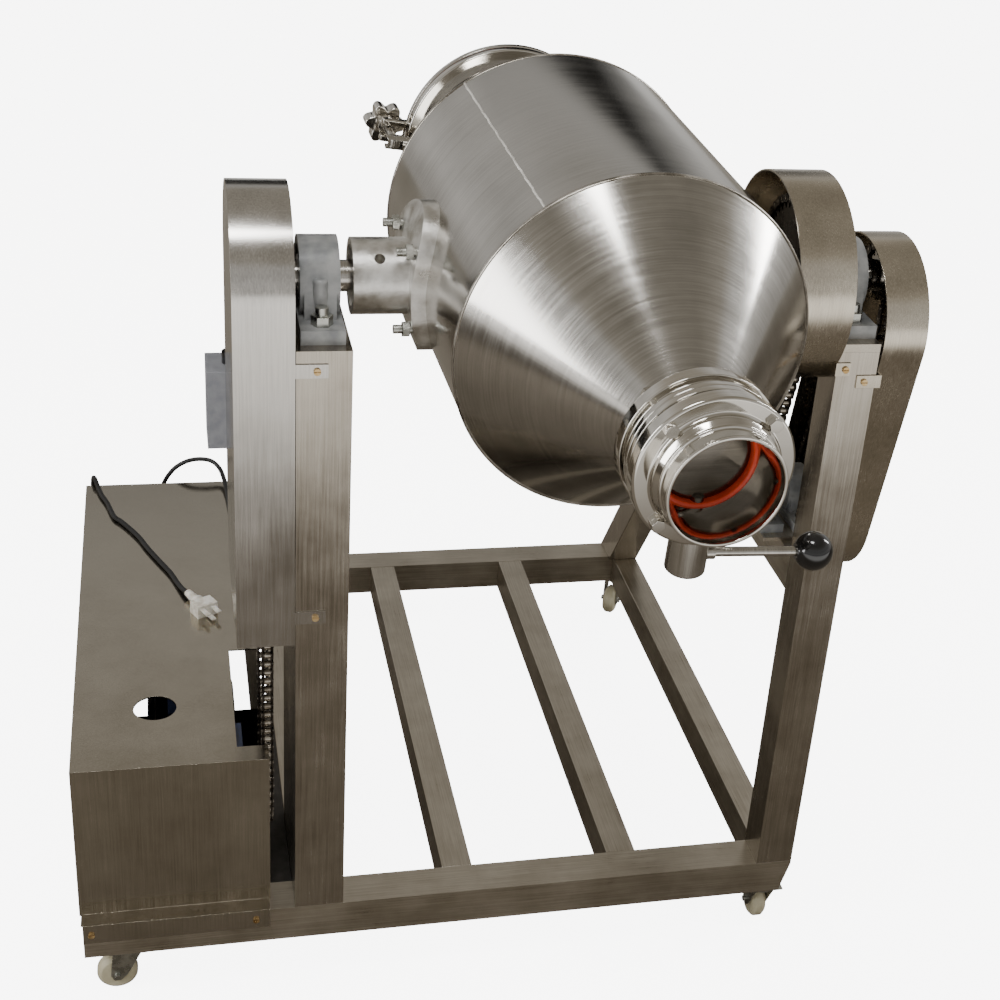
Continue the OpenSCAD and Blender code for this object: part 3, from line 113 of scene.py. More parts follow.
def leave():
    bpy.ops.object.mode_set(mode="OBJECT")


def round_edges(piece, width, steps=2, angle=30):
    take(piece)
    bevel = piece.modifiers.new("edge", "BEVEL")
    bevel.width = width * MM
    bevel.segments = steps
    bevel.limit_method = "ANGLE"
    bevel.angle_limit = math.radians(angle)
    bpy.ops.object.modifier_apply(modifier="edge")
    return piece


def smooth(piece, angle=35):
    take(piece)
    bpy.ops.object.shade_smooth_by_angle(angle=math.radians(angle))
    level = piece.modifiers.new("level", "WEIGHTED_NORMAL")
    level.keep_sharp = True
    bpy.ops.object.modifier_apply(modifier="level")
    return piece


def dress(piece, finish, body, slot, *nodes):
    piece.data.materials.clear()
    piece.data.materials.append(finish)
    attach(piece, body)
    if nodes:
        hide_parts(*nodes)
    return piece


def moved(piece, matrix):
    piece.data.transform(matrix)
    piece.data.update()
    return piece


# %% [markdown]
# Materials are small node trees. One function adds a node with its settings
# and links, and colours are given as the sRGB hex values of a paint chart.
# A noise rarely leaves its middle, so both tones are reached inside it.

# %% Node and colour helpers


def add(tree, kind, values=None, **settings):
    made = tree.nodes.new(kind)
    for key, value in settings.items():
        setattr(made, key, value)
    for key, value in (values or {}).items():
        if isinstance(value, bpy.types.NodeSocket):
            tree.links.new(value, made.inputs[key])
        else:
            made.inputs[key].default_value = value
    return made


def linear(hex_value):
    out = []
    for i in (0, 2, 4):
        c = int(hex_value[i:i + 2], 16) / 255
        out.append(c / 12.92 if c <= 0.04045 else ((c + 0.055) / 1.055) ** 2.4)
    return (*out, 1.0)


def ramp(tree, factor, stops):
    made = add(tree, "ShaderNodeValToRGB", {"Fac": factor})
    while len(made.color_ramp.elements) < len(stops):
        made.color_ramp.elements.new(0.5)
    for element, (at, color) in zip(made.color_ramp.elements, stops):
        element.position = at
        element.color = color
    return made


def blank(name):
    material = bpy.data.materials.new(name)
    material.use_nodes = True
    tree = material.node_tree
    tree.nodes.clear()
    shader = add(tree, "ShaderNodeBsdfPrincipled")
    out = add(tree, "ShaderNodeOutputMaterial", {"Surface": shader.outputs[0]})
    return material, tree, shader


# %% [markdown]
# Stainless steel is one metal with many surfaces. Hairline sheet and tube
# have fine scratches that all run one way, so reflections smear across them.
# A noise stretched along the brushing gives the scratches, and a slow noise
# gives the cloudy handling marks. The drum's sheet was brushed round its
# axis, so its pattern is turned to the drum by a Mapping node.

# %% Stainless steel finishes
STREAK = 1 / (1.6 * MM)     # scratches drawn 1.6 mm wide, as fine as a pixel shows
LENGTH = 1 / (90 * MM)      # and 90 mm long
CLOUD = 1 / (70 * MM)       # handling marks of about 70 mm


def stainless(name, light, dark, rough, spread, along, bump, turn=(0, 0, 0)):
    material, tree, shader = blank(name)
    spot = add(tree, "ShaderNodeTexCoord").outputs["Object"]
    turned_spot = add(tree, "ShaderNodeMapping", {"Vector": spot, "Rotation": turn}).outputs[0]
    scale = tuple(LENGTH if i in along else STREAK for i in range(3))
    brushed = add(tree, "ShaderNodeMapping", {"Vector": turned_spot, "Scale": scale}).outputs[0]
    hair = add(tree, "ShaderNodeTexNoise",
               {"Vector": brushed, "Scale": 1.0, "Detail": 3.0, "Roughness": 0.6})
    marks = add(tree, "ShaderNodeTexNoise",
                {"Vector": spot, "Scale": CLOUD, "Detail": 4.0, "Roughness": 0.55})
    both = add(tree, "ShaderNodeMath", {0: hair.outputs["Fac"], 1: marks.outputs["Fac"]}, operation="ADD")
    half = add(tree, "ShaderNodeMath", {0: both.outputs[0], 1: 0.5}, operation="MULTIPLY")
    tint = ramp(tree, half.outputs[0], [(0.3, linear(dark)), (0.7, linear(light))])
    haze = add(tree, "ShaderNodeMapRange", {"Value": half.outputs[0], "From Min": 0.3, "From Max": 0.7,
               "To Min": rough - spread, "To Max": rough + spread})
    relief = add(tree, "ShaderNodeBump",
                 {"Height": hair.outputs["Fac"], "Strength": bump, "Distance": 0.1 * MM})
    tree.links.new(tint.outputs[0], shader.inputs["Base Color"])
    tree.links.new(haze.outputs[0], shader.inputs["Roughness"])
    tree.links.new(relief.outputs[0], shader.inputs["Normal"])
    shader.inputs["Metallic"].default_value = 1.0
    return material


DRUM_TURN = tuple(DRUM.to_3x3().inverted().to_euler())
hairline_x = stainless("hairline_tube_along_x", "dad4c8", "a59d8f", 0.34, 0.09, (0,), 0.12)
hairline_y = stainless("hairline_tube_along_y", "dad4c8", "a59d8f", 0.34, 0.09, (1,), 0.12)
hairline_z = stainless("hairline_tube_along_z", "c6c0b5", "958d81", 0.22, 0.08, (2,), 0.12)
sheet_z = stainless("hairline_sheet_upright", "cfccc7", "a9a6a1", 0.19, 0.07, (2,), 0.08)
right_sheet = stainless("hairline_sheet_right_guards", "d6cebf", "aaa293", 0.24, 0.07, (2,), 0.08)
box_sheet = stainless("hairline_sheet_box", "c2bcb0", "9f988b", 0.2, 0.06, (2,), 0.06)
# The closing disc is polished steel; its dark base colour is painted shade for the depth of the valve's
# bore.
disc_painted_shade = stainless("polished_disc_painted_shade", "77726b", "5c5852", 0.2, 0.05, (0, 1), 0.03)
drum_sheet = stainless("drum_sheet_brushed_round", "c6c3be", "a5a29c", 0.15, 0.05, (0, 1), 0.08, DRUM_TURN)
polished = stainless("polished_stainless", "dedbd5", "c6c2ba", 0.09, 0.04, (0, 1), 0.06, DRUM_TURN)
turned_steel = stainless("turned_bright_steel", "c9c6c0", "9b978f", 0.2, 0.06, (1, 2), 0.25)
print("stainless finishes made")

# %% [markdown]
# The other finishes: cast iron under grey paint, zinc plate, oily chain
# steel, yellow passivated screws, orange silicone, black phenolic, nylon,
# rubber, blue machine enamel and grey moulded plastic. They differ in
# colour, in how rough they are and in the grain of their surface.

# %% Paints, plastics and small metals
WEAR_SHARE = 9     # worn patches are nine grains across


def grained(name, light, dark, rough, spread, grain_mm, bump, metallic=0.0, coat=0.0):
    material, tree, shader = blank(name)
    spot = add(tree, "ShaderNodeTexCoord").outputs["Object"]
    grain = add(tree, "ShaderNodeTexNoise", {"Vector": spot, "Scale": 1 / (grain_mm * MM), "Detail": 4.0})
    wear = add(tree, "ShaderNodeTexNoise",
               {"Vector": spot, "Scale": 1 / (grain_mm * WEAR_SHARE * MM), "Detail": 3.0})
    tint = ramp(tree, wear.outputs["Fac"], [(0.35, linear(dark)), (0.65, linear(light))])
    haze = add(tree, "ShaderNodeMapRange", {"Value": wear.outputs["Fac"], "From Min": 0.3, "From Max": 0.7,
               "To Min": rough - spread, "To Max": rough + spread})
    relief = add(tree, "ShaderNodeBump",
                 {"Height": grain.outputs["Fac"], "Strength": bump, "Distance": 0.3 * MM})
    tree.links.new(tint.outputs[0], shader.inputs["Base Color"])
    tree.links.new(haze.outputs[0], shader.inputs["Roughness"])
    tree.links.new(relief.outputs[0], shader.inputs["Normal"])
    shader.inputs["Metallic"].default_value = metallic
    shader.inputs["Coat Weight"].default_value = coat
    return material


cast_paint = grained("painted_cast_iron", "adaeae", "888b8d", 0.4, 0.08, 2.2, 0.5, coat=0.2)
zinc_plate = grained("zinc_plated_steel", "c8c8c2", "9fa09a", 0.3, 0.1, 1.5, 0.1, metallic=1.0)
chain_steel = grained("oiled_chain_steel", "5f5953", "37332f", 0.32, 0.1, 1.5, 0.2, metallic=1.0)
roller_steel = grained("worn_roller_steel", "b9b3a8", "857d72", 0.25, 0.08, 1.5, 0.1, metallic=1.0)
brass_screw = grained("yellow_passivated_screw", "e0c596", "b3925f", 0.3, 0.08, 1.5, 0.1, metallic=1.0)
silicone = grained("orange_silicone_rubber", "f2522c", "e0421f", 0.38, 0.05, 2.0, 0.05)
phenolic = grained("black_phenolic", "101114", "08090a", 0.14, 0.04, 2.0, 0.02, coat=0.5)
nylon = grained("cream_nylon", "e3dcc0", "cfc7a8", 0.42, 0.06, 2.0, 0.08)
cord_rubber = grained("black_rubber_cord", "1b1b1c", "101011", 0.45, 0.06, 1.5, 0.15)
machine_enamel = grained("blue_machine_enamel", "3a4a74", "2b385c", 0.35, 0.08, 3.0, 0.15, coat=0.3)
dark_primer = grained("dark_primer", "4b4845", "35322f", 0.6, 0.08, 2.0, 0.3)
switch_plastic = grained("grey_moulded_plastic", "8f9197", "7f8188", 0.45, 0.05, 1.5, 0.15)
frosted = grained("blasted_stainless_hub", "f2f1ee", "bcb9b3", 0.36, 0.1, 2.6, 0.7, metallic=1.0)
# The straight weld's near-white, half-metal colour is a painted highlight, so the ground bead reads as a
# bright line.
weld_bead_painted_highlight = grained("ground_weld_painted_highlight", "f4f2ee", "dbd8d2", 0.5, 0.1, 3.0, 0.3, metallic=0.55)
weld_metal = grained("bare_weld_metal", "cfcac2", "8d877d", 0.34, 0.1, 3.0, 0.6, metallic=1.0)
print("other finishes made")

# %% [markdown]
# The plug is moulded in clear and white plastic: a little light passes into
# it, which the shader's subsurface gives without any glass.

# %% Plug plastic
plug_plastic, plug_tree, plug_shader = blank("clear_white_plug_plastic")
plug_spot = add(plug_tree, "ShaderNodeTexCoord").outputs["Object"]
plug_cloud = add(plug_tree, "ShaderNodeTexNoise",
                 {"Vector": plug_spot, "Scale": 1 / (9 * MM), "Detail": 2.0})
plug_tint = ramp(plug_tree, plug_cloud.outputs["Fac"], [(0.35, linear("cdc7ba")), (0.65, linear("f1eee6"))])
plug_tree.links.new(plug_tint.outputs[0], plug_shader.inputs["Base Color"])
plug_shader.inputs["Roughness"].default_value = 0.18
plug_shader.inputs["Subsurface Weight"].default_value = 0.25
plug_shader.inputs["Subsurface Radius"].default_value = (0.004, 0.003, 0.002)
print("plug plastic made")

# %% [markdown]
# The power cord leaves the gland under the switch box, drops behind the
# guard, runs over the motor box, hangs in a loop over its left edge and
# comes back to the plug near the guard. Its points are the CAD route's own.

# %% Power cord
ROUTE = [(199, 234, 650), (199, 234, 628), (200, 236, 600), (203, 242, 560),
         (207, 252, 520), (211, 266, 478), (214, 284, 436), (216, 306, 398),
         (217, 334, 366), (216, 370, 347), (214, 420, 341), (212, 480, 341),
         (211, 540, 341), (210, 600, 341), (209, 655, 341), (207, 705, 343),
         (204, 742, 348), (198, 768, 355), (186, 780, 362), (168, 784, 364),
         (148, 785, 360), (128, 787, 346), (112, 790, 320), (104, 793, 285),
         (98, 796, 245), (88, 799, 212), (70, 801, 192), (48, 801, 188),
         (26, 798, 204), (14, 793, 234), (8, 788, 272), (5, 782, 312),
         (6, 774, 339), (9, 760, 348), (14, 742, 343), (20, 716, 341),
         (29, 688, 341), (39, 646, 341), (50, 628, 341), (64, 602, 341),
         (76, 576, 341), (86, 548, 341), (98, 518, 341), (110, 490, 341),
         (119, 468, 341), (127, 442, 341), (134, 420, 343), (141, 404, 346)]
route = [place(*p) for p in ROUTE]


def along_curve(points, parts):
    out = []
    for i in range(len(points) - 1):
        a, b, c, d = (points[max(0, min(len(points) - 1, i + k))] for k in (-1, 0, 1, 2))
        for j in range(parts):
            t = j / parts
            out.append(0.5 * (2 * b + (c - a) * t + (2 * a - 5 * b + 4 * c - d) * t * t
                              + (3 * b - a - 3 * c + d) * t ** 3))
    return out + [points[-1]]


def tube(name, points, radius, sides=12):
    curve = bpy.data.curves.new(name, "CURVE")
    curve.dimensions = "3D"
    curve.bevel_depth = radius
    curve.bevel_resolution = sides // 4
    curve.use_fill_caps = True
    spline = curve.splines.new("POLY")
    spline.points.add(len(points) - 1)
    for at, point in zip(spline.points, points):
        at.co = (*point, 1.0)
    made = bpy.data.objects.new(name, curve)
    bpy.context.scene.collection.objects.link(made)
    return made


cord_line = along_curve(route, 4)
cord_length = sum((b - a).length for a, b in zip(cord_line, cord_line[1:]))
power_cord = tube("power_cord_flex", cord_line, 3.5 * MM)
power_cord.data.materials.append(cord_rubber)
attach(power_cord, "frame")
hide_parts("power_cord")
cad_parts["plug"].data.materials.clear()
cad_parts["plug"].data.materials.append(plug_plastic)
print("cord length", round(cord_length, 3))

# %% [markdown]
# Sheet, tube and cast pieces have the right shape in the CAD already, but
# its edges are knife sharp and its faces are loose triangles. A copy is
# merged, its flat faces are dissolved into whole ones, and its edges are
# rounded as bending, grinding or casting left them. The copy then stands
# for the CAD node, at the same place.

# %% Round the edges of the CAD's own pieces


WELD_DISTANCE = 0.02 * MM
FLAT = math.radians(0.4)


def softened(node, width, finish, body, slot, steps=2):
    copy = bpy.data.objects.new(node + "_edged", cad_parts[node].data.copy())
    bpy.context.scene.collection.objects.link(copy)
    edit(copy)
    bpy.ops.mesh.remove_doubles(threshold=WELD_DISTANCE)
    bpy.ops.mesh.dissolve_limited(angle_limit=FLAT, use_dissolve_boundaries=False)
    leave()
    round_edges(copy, width, steps, 35)
    smooth(copy, 40)
    return dress(copy, finish, body, slot, node)


for node, width, finish in (("front_rail", 1.4, hairline_x), ("rear_rail", 1.4, hairline_x),
                            ("floor_rails", 1.4, hairline_y), ("left_post", 1.4, hairline_z),
                            ("right_post", 1.4, hairline_z), ("rear_leg", 1.4, hairline_z),
                            ("side_beam", 1.4, hairline_y), ("bearing_brackets", 0.8, hairline_y)):
    softened(node, width, finish, "frame", "stainless_tube")
for node, finish in (("left_guard", sheet_z), ("inner_guard", right_sheet),
                     ("outer_guard", right_sheet), ("motor_box", box_sheet)):
    softened(node, 0.6, finish, "frame", "stainless_sheet")
softened("trunnion_bearings", 4.5, cast_paint, "frame", "bearing_grey", 4)
softened("layshaft_bearings", 1.5, cast_paint, "frame", "bearing_grey", 2)
softened("frame_bolts", 0.8, zinc_plate, "frame", "machined_steel")
softened("cover_screws", 0.4, brass_screw, "frame", "brass_screw")
softened("motor_shelf", 0.8, dark_primer, "frame", "shelf_paint")
softened("motor", 0.8, machine_enamel, "frame", "motor_paint")
softened("gear_box", 2.5, machine_enamel, "frame", "motor_paint", 3)
softened("switch_box", 6.0, switch_plastic, "frame", "switch_plastic", 4)
softened("switch_knob", 1.0, phenolic, "selector", "black_plastic")
softened("castor_plates", 0.5, zinc_plate, "frame", "zinc")
for corner in ("front_left", "front_right", "rear_left", "rear_right"):
    softened("castor_fork_" + corner, 0.4, zinc_plate, corner + "_fork", "zinc")
    softened("wheel_" + corner, 1.2, nylon, corner + "_wheel", "wheel_nylon", 3)
softened("gear_box_sprocket", 0.4, chain_steel, "gear_output", "chain_steel")
softened("layshaft", 0.4, chain_steel, "layshaft", "chain_steel")
softened("stirrer", 0.6, drum_sheet, "stirrer", "drum_steel")
for node, finish, slot in (("left_sprocket", chain_steel, "chain_steel"),
                           ("right_sprocket", chain_steel, "chain_steel"),
                           ("hub_studs", zinc_plate, "machined_steel"),
                           ("right_hub", frosted, "machined_steel"),
                           ("left_shaft", turned_steel, "machined_steel"),
                           ("left_hub", frosted, "machined_steel"),
                           ("trunnion_pads", frosted, "drum_steel"),
                           ("valve_bolts", polished, "polished_steel"),
                           ("shaft_seal", silicone, "silicone")):
    softened(node, 0.6, finish, "drum", slot)

# %% [markdown]
# Turned and spun parts are bodies of revolution. A ring of points is set on
# half of the section, and the spin operator carries it once round the axis,
# as the lathe or the spinning chuck did. The profile is given as radius and
# height in millimetres, and the sharp rings are rounded afterwards.

# %% Spin a section round its axis
TOUCHING = 0.01 * MM


def spun(name, section, matrix, steps=96, edge=0.8, edge_steps=2, angle=30):
    bpy.ops.object.select_all(action="DESELECT")
    bpy.ops.mesh.primitive_circle_add(vertices=len(section), radius=0.1)
    piece = bpy.context.object
    piece.name = name
    for vertex, (radius, height) in zip(piece.data.vertices, section):
        vertex.co = (radius * MM, 0, height * MM)
    edit(piece)
    bpy.ops.mesh.spin(steps=steps, angle=2 * math.pi, center=(0, 0, 0), axis=(0, 0, 1))
    bpy.ops.mesh.select_all(action="SELECT")
    bpy.ops.mesh.remove_doubles(threshold=TOUCHING)
    bpy.ops.mesh.dissolve_degenerate(threshold=TOUCHING)
    bpy.ops.mesh.normals_make_consistent(inside=False)
    leave()
    if edge:
        round_edges(piece, edge, edge_steps, angle)
    smooth(piece, 40)
    return moved(piece, matrix)


# %% [markdown]
# The drum is rolled and welded from 2 mm sheet: a cylinder, a cone at each
# end and two necks. Its section is drawn once outside and once inside, so
# the wall has its thickness.

# %% Drum shell
DRUM_R, WALL, FRONT, BACK, CONE = 195, 2, 182, 186, 172
NECK, MOUTH, NECK_END, JOINT = 52, 112, 372, 400
RIM_R, FLANGE_T = 135, 12
SEAM_RISE, SEAM_REACH = 1.0, 2.2
outside = [(MOUTH, -JOINT), (MOUTH, -BACK - CONE), (DRUM_R, -BACK), (DRUM_R, FRONT),
           (NECK, FRONT + CONE), (NECK, NECK_END)]
inside = [(radius - WALL, height) for radius, height in reversed(outside)]
drum_shell = spun("drum_shell_spun", outside + inside, DRUM, steps=192, edge=2.5, edge_steps=3, angle=20)
dress(drum_shell, drum_sheet, "drum", "drum_steel", "drum_shell")
flange_section = [(MOUTH, -JOINT), (RIM_R, -JOINT), (RIM_R, -JOINT + FLANGE_T), (MOUTH, -JOINT + FLANGE_T)]
mouth_flange = spun("mouth_flange", flange_section, DRUM, 128, 2.0, 3)
dress(mouth_flange, polished, "drum", "polished_steel", "drum_shell")
for seam, height in enumerate((FRONT, -BACK)):
    bead_section = [(DRUM_R + SEAM_RISE * math.cos(a), height + SEAM_REACH * math.sin(a))
                    for a in (math.tau * i / 8 for i in range(8))]
    ring = spun("drum_seam_%d" % seam, bead_section, DRUM, 192, 0)
    dress(ring, weld_metal, "drum", "drum_steel")
print("drum triangles", len(drum_shell.data.polygons) * 2)

# %% [markdown]
# The rolled sheet is closed by one straight weld that was ground nearly
# flush. Its near-white colour is a painted highlight, so it shows as a thin
# bright bead along the cylinder. A slim cylinder is cut into short lengths,
# and each ring is nudged a little, as a hand weld wanders.

# %% Straight weld of the drum
SEAM_TURN, BEAD, BEAD_STOP, BEAD_CUTS = math.radians(125), 1.3, 2, 44
WANDERS = ((0.35, 160), (0.25, 391))
seam_x, seam_y = DRUM_R * math.cos(SEAM_TURN), DRUM_R * math.sin(SEAM_TURN)
bead_length = FRONT + BACK - 2 * BEAD_STOP
bpy.ops.object.select_all(action="DESELECT")
bpy.ops.mesh.primitive_cylinder_add(vertices=10, radius=BEAD * MM, depth=bead_length * MM,
                                    location=(seam_x * MM, seam_y * MM, (FRONT - BACK) / 2 * MM))
straight_weld = bpy.context.object
straight_weld.name = "drum_straight_weld"
bpy.ops.object.transform_apply(location=True, rotation=True, scale=True)
edit(straight_weld, "EDGE")
bpy.ops.mesh.select_all(action="DESELECT")
leave()
for line in straight_weld.data.edges:
    a, b = (straight_weld.data.vertices[i].co for i in line.vertices)
    line.select = abs(a.z - b.z) > bead_length / 2 * MM
take(straight_weld)
bpy.ops.object.mode_set(mode="EDIT")
bpy.ops.mesh.subdivide(number_cuts=BEAD_CUTS)
leave()
for vertex in straight_weld.data.vertices:
    wander = sum(swing * math.sin(vertex.co.z * wave) for swing, wave in WANDERS)
    vertex.co.x += wander * MM
dress(moved(smooth(straight_weld, 60), DRUM), weld_bead_painted_highlight, "drum", "drum_steel")
print("straight weld made")

# %% [markdown]
# The mouth is closed by a dished lid on a gasket. The lid is spun sheet
# with a thick rim. Heights are counted from the drum's middle, and those
# of the mouth's side are negative.

# %% Lid and gasket
lid_section = [(0, -427), (55, -424), (92, -406), (93, -404), (134, -404), (RIM_R, -405), (RIM_R, -412),
               (132, -416), (98, -416), (90, -418), (55, -429), (0, -432)]
lid = spun("lid_spun", lid_section, DRUM, 128, 0.6, 2)
dress(lid, polished, "drum", "polished_steel", "lid")
gasket = spun("lid_gasket_ring", [(109, -404), (129, -404), (129, -400), (109, -400)], DRUM, 128, 0.8, 2)
dress(gasket, silicone, "drum", "silicone", "lid_gasket")
print("lid made")

# %% [markdown]
# The ears that the swing bolts drop into stand on the lid's rim, and the
# round lugs that carry the bolts stand on the drum's neck.

# %% Lid ears and lugs


def bar(name, low, high):
    bpy.ops.object.select_all(action="DESELECT")
    bpy.ops.mesh.primitive_cube_add(size=1.0)
    made = bpy.context.object
    made.name = name
    for vertex in made.data.vertices:
        vertex.co = [(high[i] if vertex.co[i] > 0 else low[i]) * MM for i in range(3)]
    return made


def rod(name, radius, low, high, vertices=48):
    low, high = Vector(low), Vector(high)
    bpy.ops.object.select_all(action="DESELECT")
    bpy.ops.mesh.primitive_cylinder_add(vertices=vertices, radius=radius * MM,
                                        depth=(high - low).length * MM)
    made = bpy.context.object
    made.name = name
    turn = (high - low).to_track_quat("Z", "Y").to_matrix().to_4x4()
    return moved(made, Matrix.Translation((low + high) / 2 * MM) @ turn)


def cut(piece, tool):
    take(piece)
    knife = piece.modifiers.new("cut", "BOOLEAN")
    knife.object = tool
    knife.operation = "DIFFERENCE"
    knife.solver = "EXACT"
    bpy.ops.object.modifier_apply(modifier="cut")
    bpy.data.objects.remove(tool)
    return piece


def merged(name, pieces):
    take(pieces[0])
    for other in pieces[1:]:
        other.select_set(True)
    bpy.ops.object.join()
    bpy.context.object.name = name
    return bpy.context.object


SWING_TURN = {"left": -7.5, "right": 172.5}
EYE_S = -364
lid_parts, lug_parts = [], []
for side, turn in SWING_TURN.items():
    at = DRUM @ Matrix.Rotation(math.radians(turn), 4, "Z")
    ear = bar("ear_" + side, (-166, -15, -416), (-131, 15, -404))
    ear = cut(ear, bar("slot", (-170, -6.5, -420), (-135.5, 6.5, -400)))
    round_edges(ear, 2.0, 3)
    lid_parts.append(moved(smooth(ear), at))
    lug = rod("lug_" + side, 9, (-167, 0, EYE_S), (-110, 0, EYE_S))
    lug = cut(lug, bar("slot", (-170, -5, -376), (-147.2, 5, -350)))
    round_edges(lug, 1.0, 2)
    lug_parts.append(moved(smooth(lug), at))
dress(merged("lid_ears", lid_parts), polished, "drum", "polished_steel", "lid")
dress(merged("neck_lugs", lug_parts), turned_steel, "drum", "drum_steel", "drum_shell")
print("ears and lugs made")

# %% [markdown]
# Each swing bolt has an eye in the lug, and a cast star knob with six round
# lobes clamps the lid. The lobes come from moving a circle's points in and
# out before it is extruded and its edges are rounded.

# %% Swing bolts and star knobs
STAR_S, SWING_R = -417.2, 156
WAIST_R, LOBE, LOBES, STAR_T = 18.2, 8.8, 6, 22


def star(name):
    bpy.ops.object.select_all(action="DESELECT")
    bpy.ops.mesh.primitive_circle_add(vertices=96, radius=1.0, fill_type="NGON")
    made = bpy.context.object
    made.name = name
    for vertex in made.data.vertices:
        a = math.atan2(vertex.co.y, vertex.co.x)
        lobe = (0.5 + 0.5 * math.cos(LOBES * a)) ** 0.7
        reach = (WAIST_R + LOBE * lobe) * MM
        vertex.co = (reach * math.cos(a), reach * math.sin(a), 0)
    edit(made, "FACE")
    bpy.ops.mesh.extrude_region_move(TRANSFORM_OT_translate={"value": (0, 0, STAR_T * MM)})
    bpy.ops.mesh.select_all(action="SELECT")
    bpy.ops.mesh.normals_make_consistent(inside=False)
    leave()
    round_edges(made, 5.0, 5, 60)
    return moved(smooth(made, 60), Matrix.Translation((0, 0, 10 * MM)))


for side, turn in SWING_TURN.items():
    at = DRUM @ Matrix.Rotation(math.radians(turn), 4, "Z") @ Matrix.Translation((-SWING_R * MM, 0, 0))
    shank = rod("shank", 6, (0, 0, -378.5), (0, 0, -459.2))
    eye = rod("eye", 8.5, (0, -4.7, EYE_S), (0, 4.7, EYE_S))
    pin = rod("pin", 3, (0, -9, EYE_S), (0, 9, EYE_S), 24)
    neck = bar("neck", (-5, -4.7, -379.5), (5, 4.7, EYE_S))
    for each in (shank, eye, pin, neck):
        smooth(round_edges(each, 0.6, 2))
    bolt = moved(merged("swing_bolt_%s_turned" % side, [shank, eye, pin, neck]), at)
    dress(bolt, turned_steel, side + "_swing", "machined_steel", "swing_bolt_" + side)
    boss_section = [(6.1, 0), (12, 0), (13, 10.5), (16, 33), (10, 35), (6.1, 35)]
    boss = spun("boss", boss_section, Matrix.Identity(4), 48, 0.8)
    knob = merged("star_knob_%s_cast" % side, [star("lobes"), boss])
    moved(knob, at @ Matrix.Translation((0, 0, STAR_S * MM)) @ Matrix.Rotation(math.pi, 4, "X"))
    dress(knob, polished, side + "_knob", "polished_steel", "star_knob_" + side)
print("swing bolts and star knobs made")

# %% [markdown]
# The housings of the two trunnion bearings are castings. An upright boss
# stands on the front of each, from the foot to just above the shaft, with a
# domed top for the grease fitting. It is a short cylinder, rounded as the
# casting left it.

# %% Bosses of the bearing housings
BEARING_X, BOSS_R, BOSS_OUT = (286.0, 895.0), 8.5, 43.0
BOSS_LOW, BOSS_TOP = AXIS_Z - 32, AXIS_Z + 13
bosses = []
for bearing_x in BEARING_X:
    boss = rod("grease_boss", BOSS_R, (bearing_x, AXIS_Y - BOSS_OUT, BOSS_LOW),
               (bearing_x, AXIS_Y - BOSS_OUT, BOSS_TOP), 32)
    bosses.append(smooth(round_edges(boss, 4.0, 4)))
dress(moved(merged("bearing_bosses", bosses), SHIFT), cast_paint, "frame", "bearing_grey")
print("bosses made for", len(BEARING_X), "bearings")

# %% [markdown]
# The butterfly valve is two turned rings bolted together over an orange
# silicone seat. The grooves and steps are in the section. The outlet in
# front of it ends in a rim for a clamp.

# %% Valve rings, seat and outlet
BORE, SEAT_R, SEAT_BACK, SEAT_FRONT = 50, 59, 394, 414
rear_section = [(BORE, NECK_END), (80, NECK_END), (80, 388), (73, 388), (73, 396), (78, 396), (78, 403.8),
                (SEAT_R, 403.8), (SEAT_R, SEAT_BACK), (BORE, SEAT_BACK)]
front_section = [(SEAT_R, 404.2), (78, 404.2), (78, 412), (73, 412), (73, 418), (81, 418), (81, 432),
                 (79, 434), (66, 434), (64, 436), (64, 441), (61, 446), (60.2, 447), (60.2, 449.5),
                 (58, 450), (58, 462.5), (59.5, 465.5), (59.5, 469), (56.2, 469), (BORE, 447),
                 (BORE, SEAT_FRONT), (SEAT_R, SEAT_FRONT)]
seat_section = [(47.0, 396), (BORE, SEAT_BACK), (SEAT_R, SEAT_BACK), (SEAT_R, SEAT_FRONT),
                (BORE, SEAT_FRONT), (47.0, 412)]
rear_ring = spun("valve_rear_ring", rear_section, DRUM, 128, 1.2, 3)
front_ring = spun("valve_front_ring", front_section, DRUM, 128, 0.9, 3)
seat = spun("valve_seat_ring", seat_section, DRUM, 128, 1.2, 3)
dress(rear_ring, polished, "drum", "polished_steel", "valve_body")
dress(front_ring, polished, "drum", "polished_steel", "valve_outlet")
dress(seat, silicone, "drum", "silicone", "valve_seat")
print("valve rings made")

# %% [markdown]
# Inside the bore sits the closing disc on its stem. Below the body the stem
# carries a hub with the handle's rod and a black ball.

# %% Valve disc, handle and ball
STEM_S, STEM_R, HANDLE_Y, BALL_X, BALL_R = 404, 7, -108, 131, 20
STEM = DRUM @ Matrix.Translation((0, 0, STEM_S * MM)) @ Matrix.Rotation(math.radians(-1.2), 4, "Z")
LEVER = STEM @ Matrix.Rotation(math.radians(-5), 4, "Y")
DOWN = Matrix.Rotation(QUARTER, 4, "X")
disc_back = [(0, -5.5), (14, -5.2), (30, -4), (42, -2.6), (46.4, -1)]
disc_section = disc_back + [(radius, -height) for radius, height in reversed(disc_back)]
disc = spun("disc", disc_section, Matrix.Identity(4), 96, 0.5)
stem_top = rod("stem_top", STEM_R, (0, 56, 0), (0, 42, 0))
stem = rod("stem", STEM_R, (0, -42, 0), (0, -82, 0))
disc = moved(merged("valve_disc_turned", [disc, smooth(stem), smooth(stem_top)]), STEM)
# The disc's dark colour is painted shade for the inside of the bore.
dress(disc, disc_painted_shade, "valve", "polished_steel", "valve_disc")
hub_section = [(0, 82), (19, 82), (20.5, 83.5), (20.5, 126), (18.5, 128), (12, 128), (11, 126.5), (0, 126.5)]
hub = spun("hub", hub_section, DOWN, 64, 0.4)
handle = smooth(round_edges(rod("rod", 5, (12, HANDLE_Y, 0), (126, HANDLE_Y, 0)), 0.4))
collar = smooth(round_edges(rod("collar", 7.5, (18, HANDLE_Y, 0), (28, HANDLE_Y, 0)), 1.0))
lever_parts = moved(merged("valve_handle_turned", [hub, handle, collar]), LEVER)
dress(lever_parts, turned_steel, "valve", "polished_steel", "valve_handle")
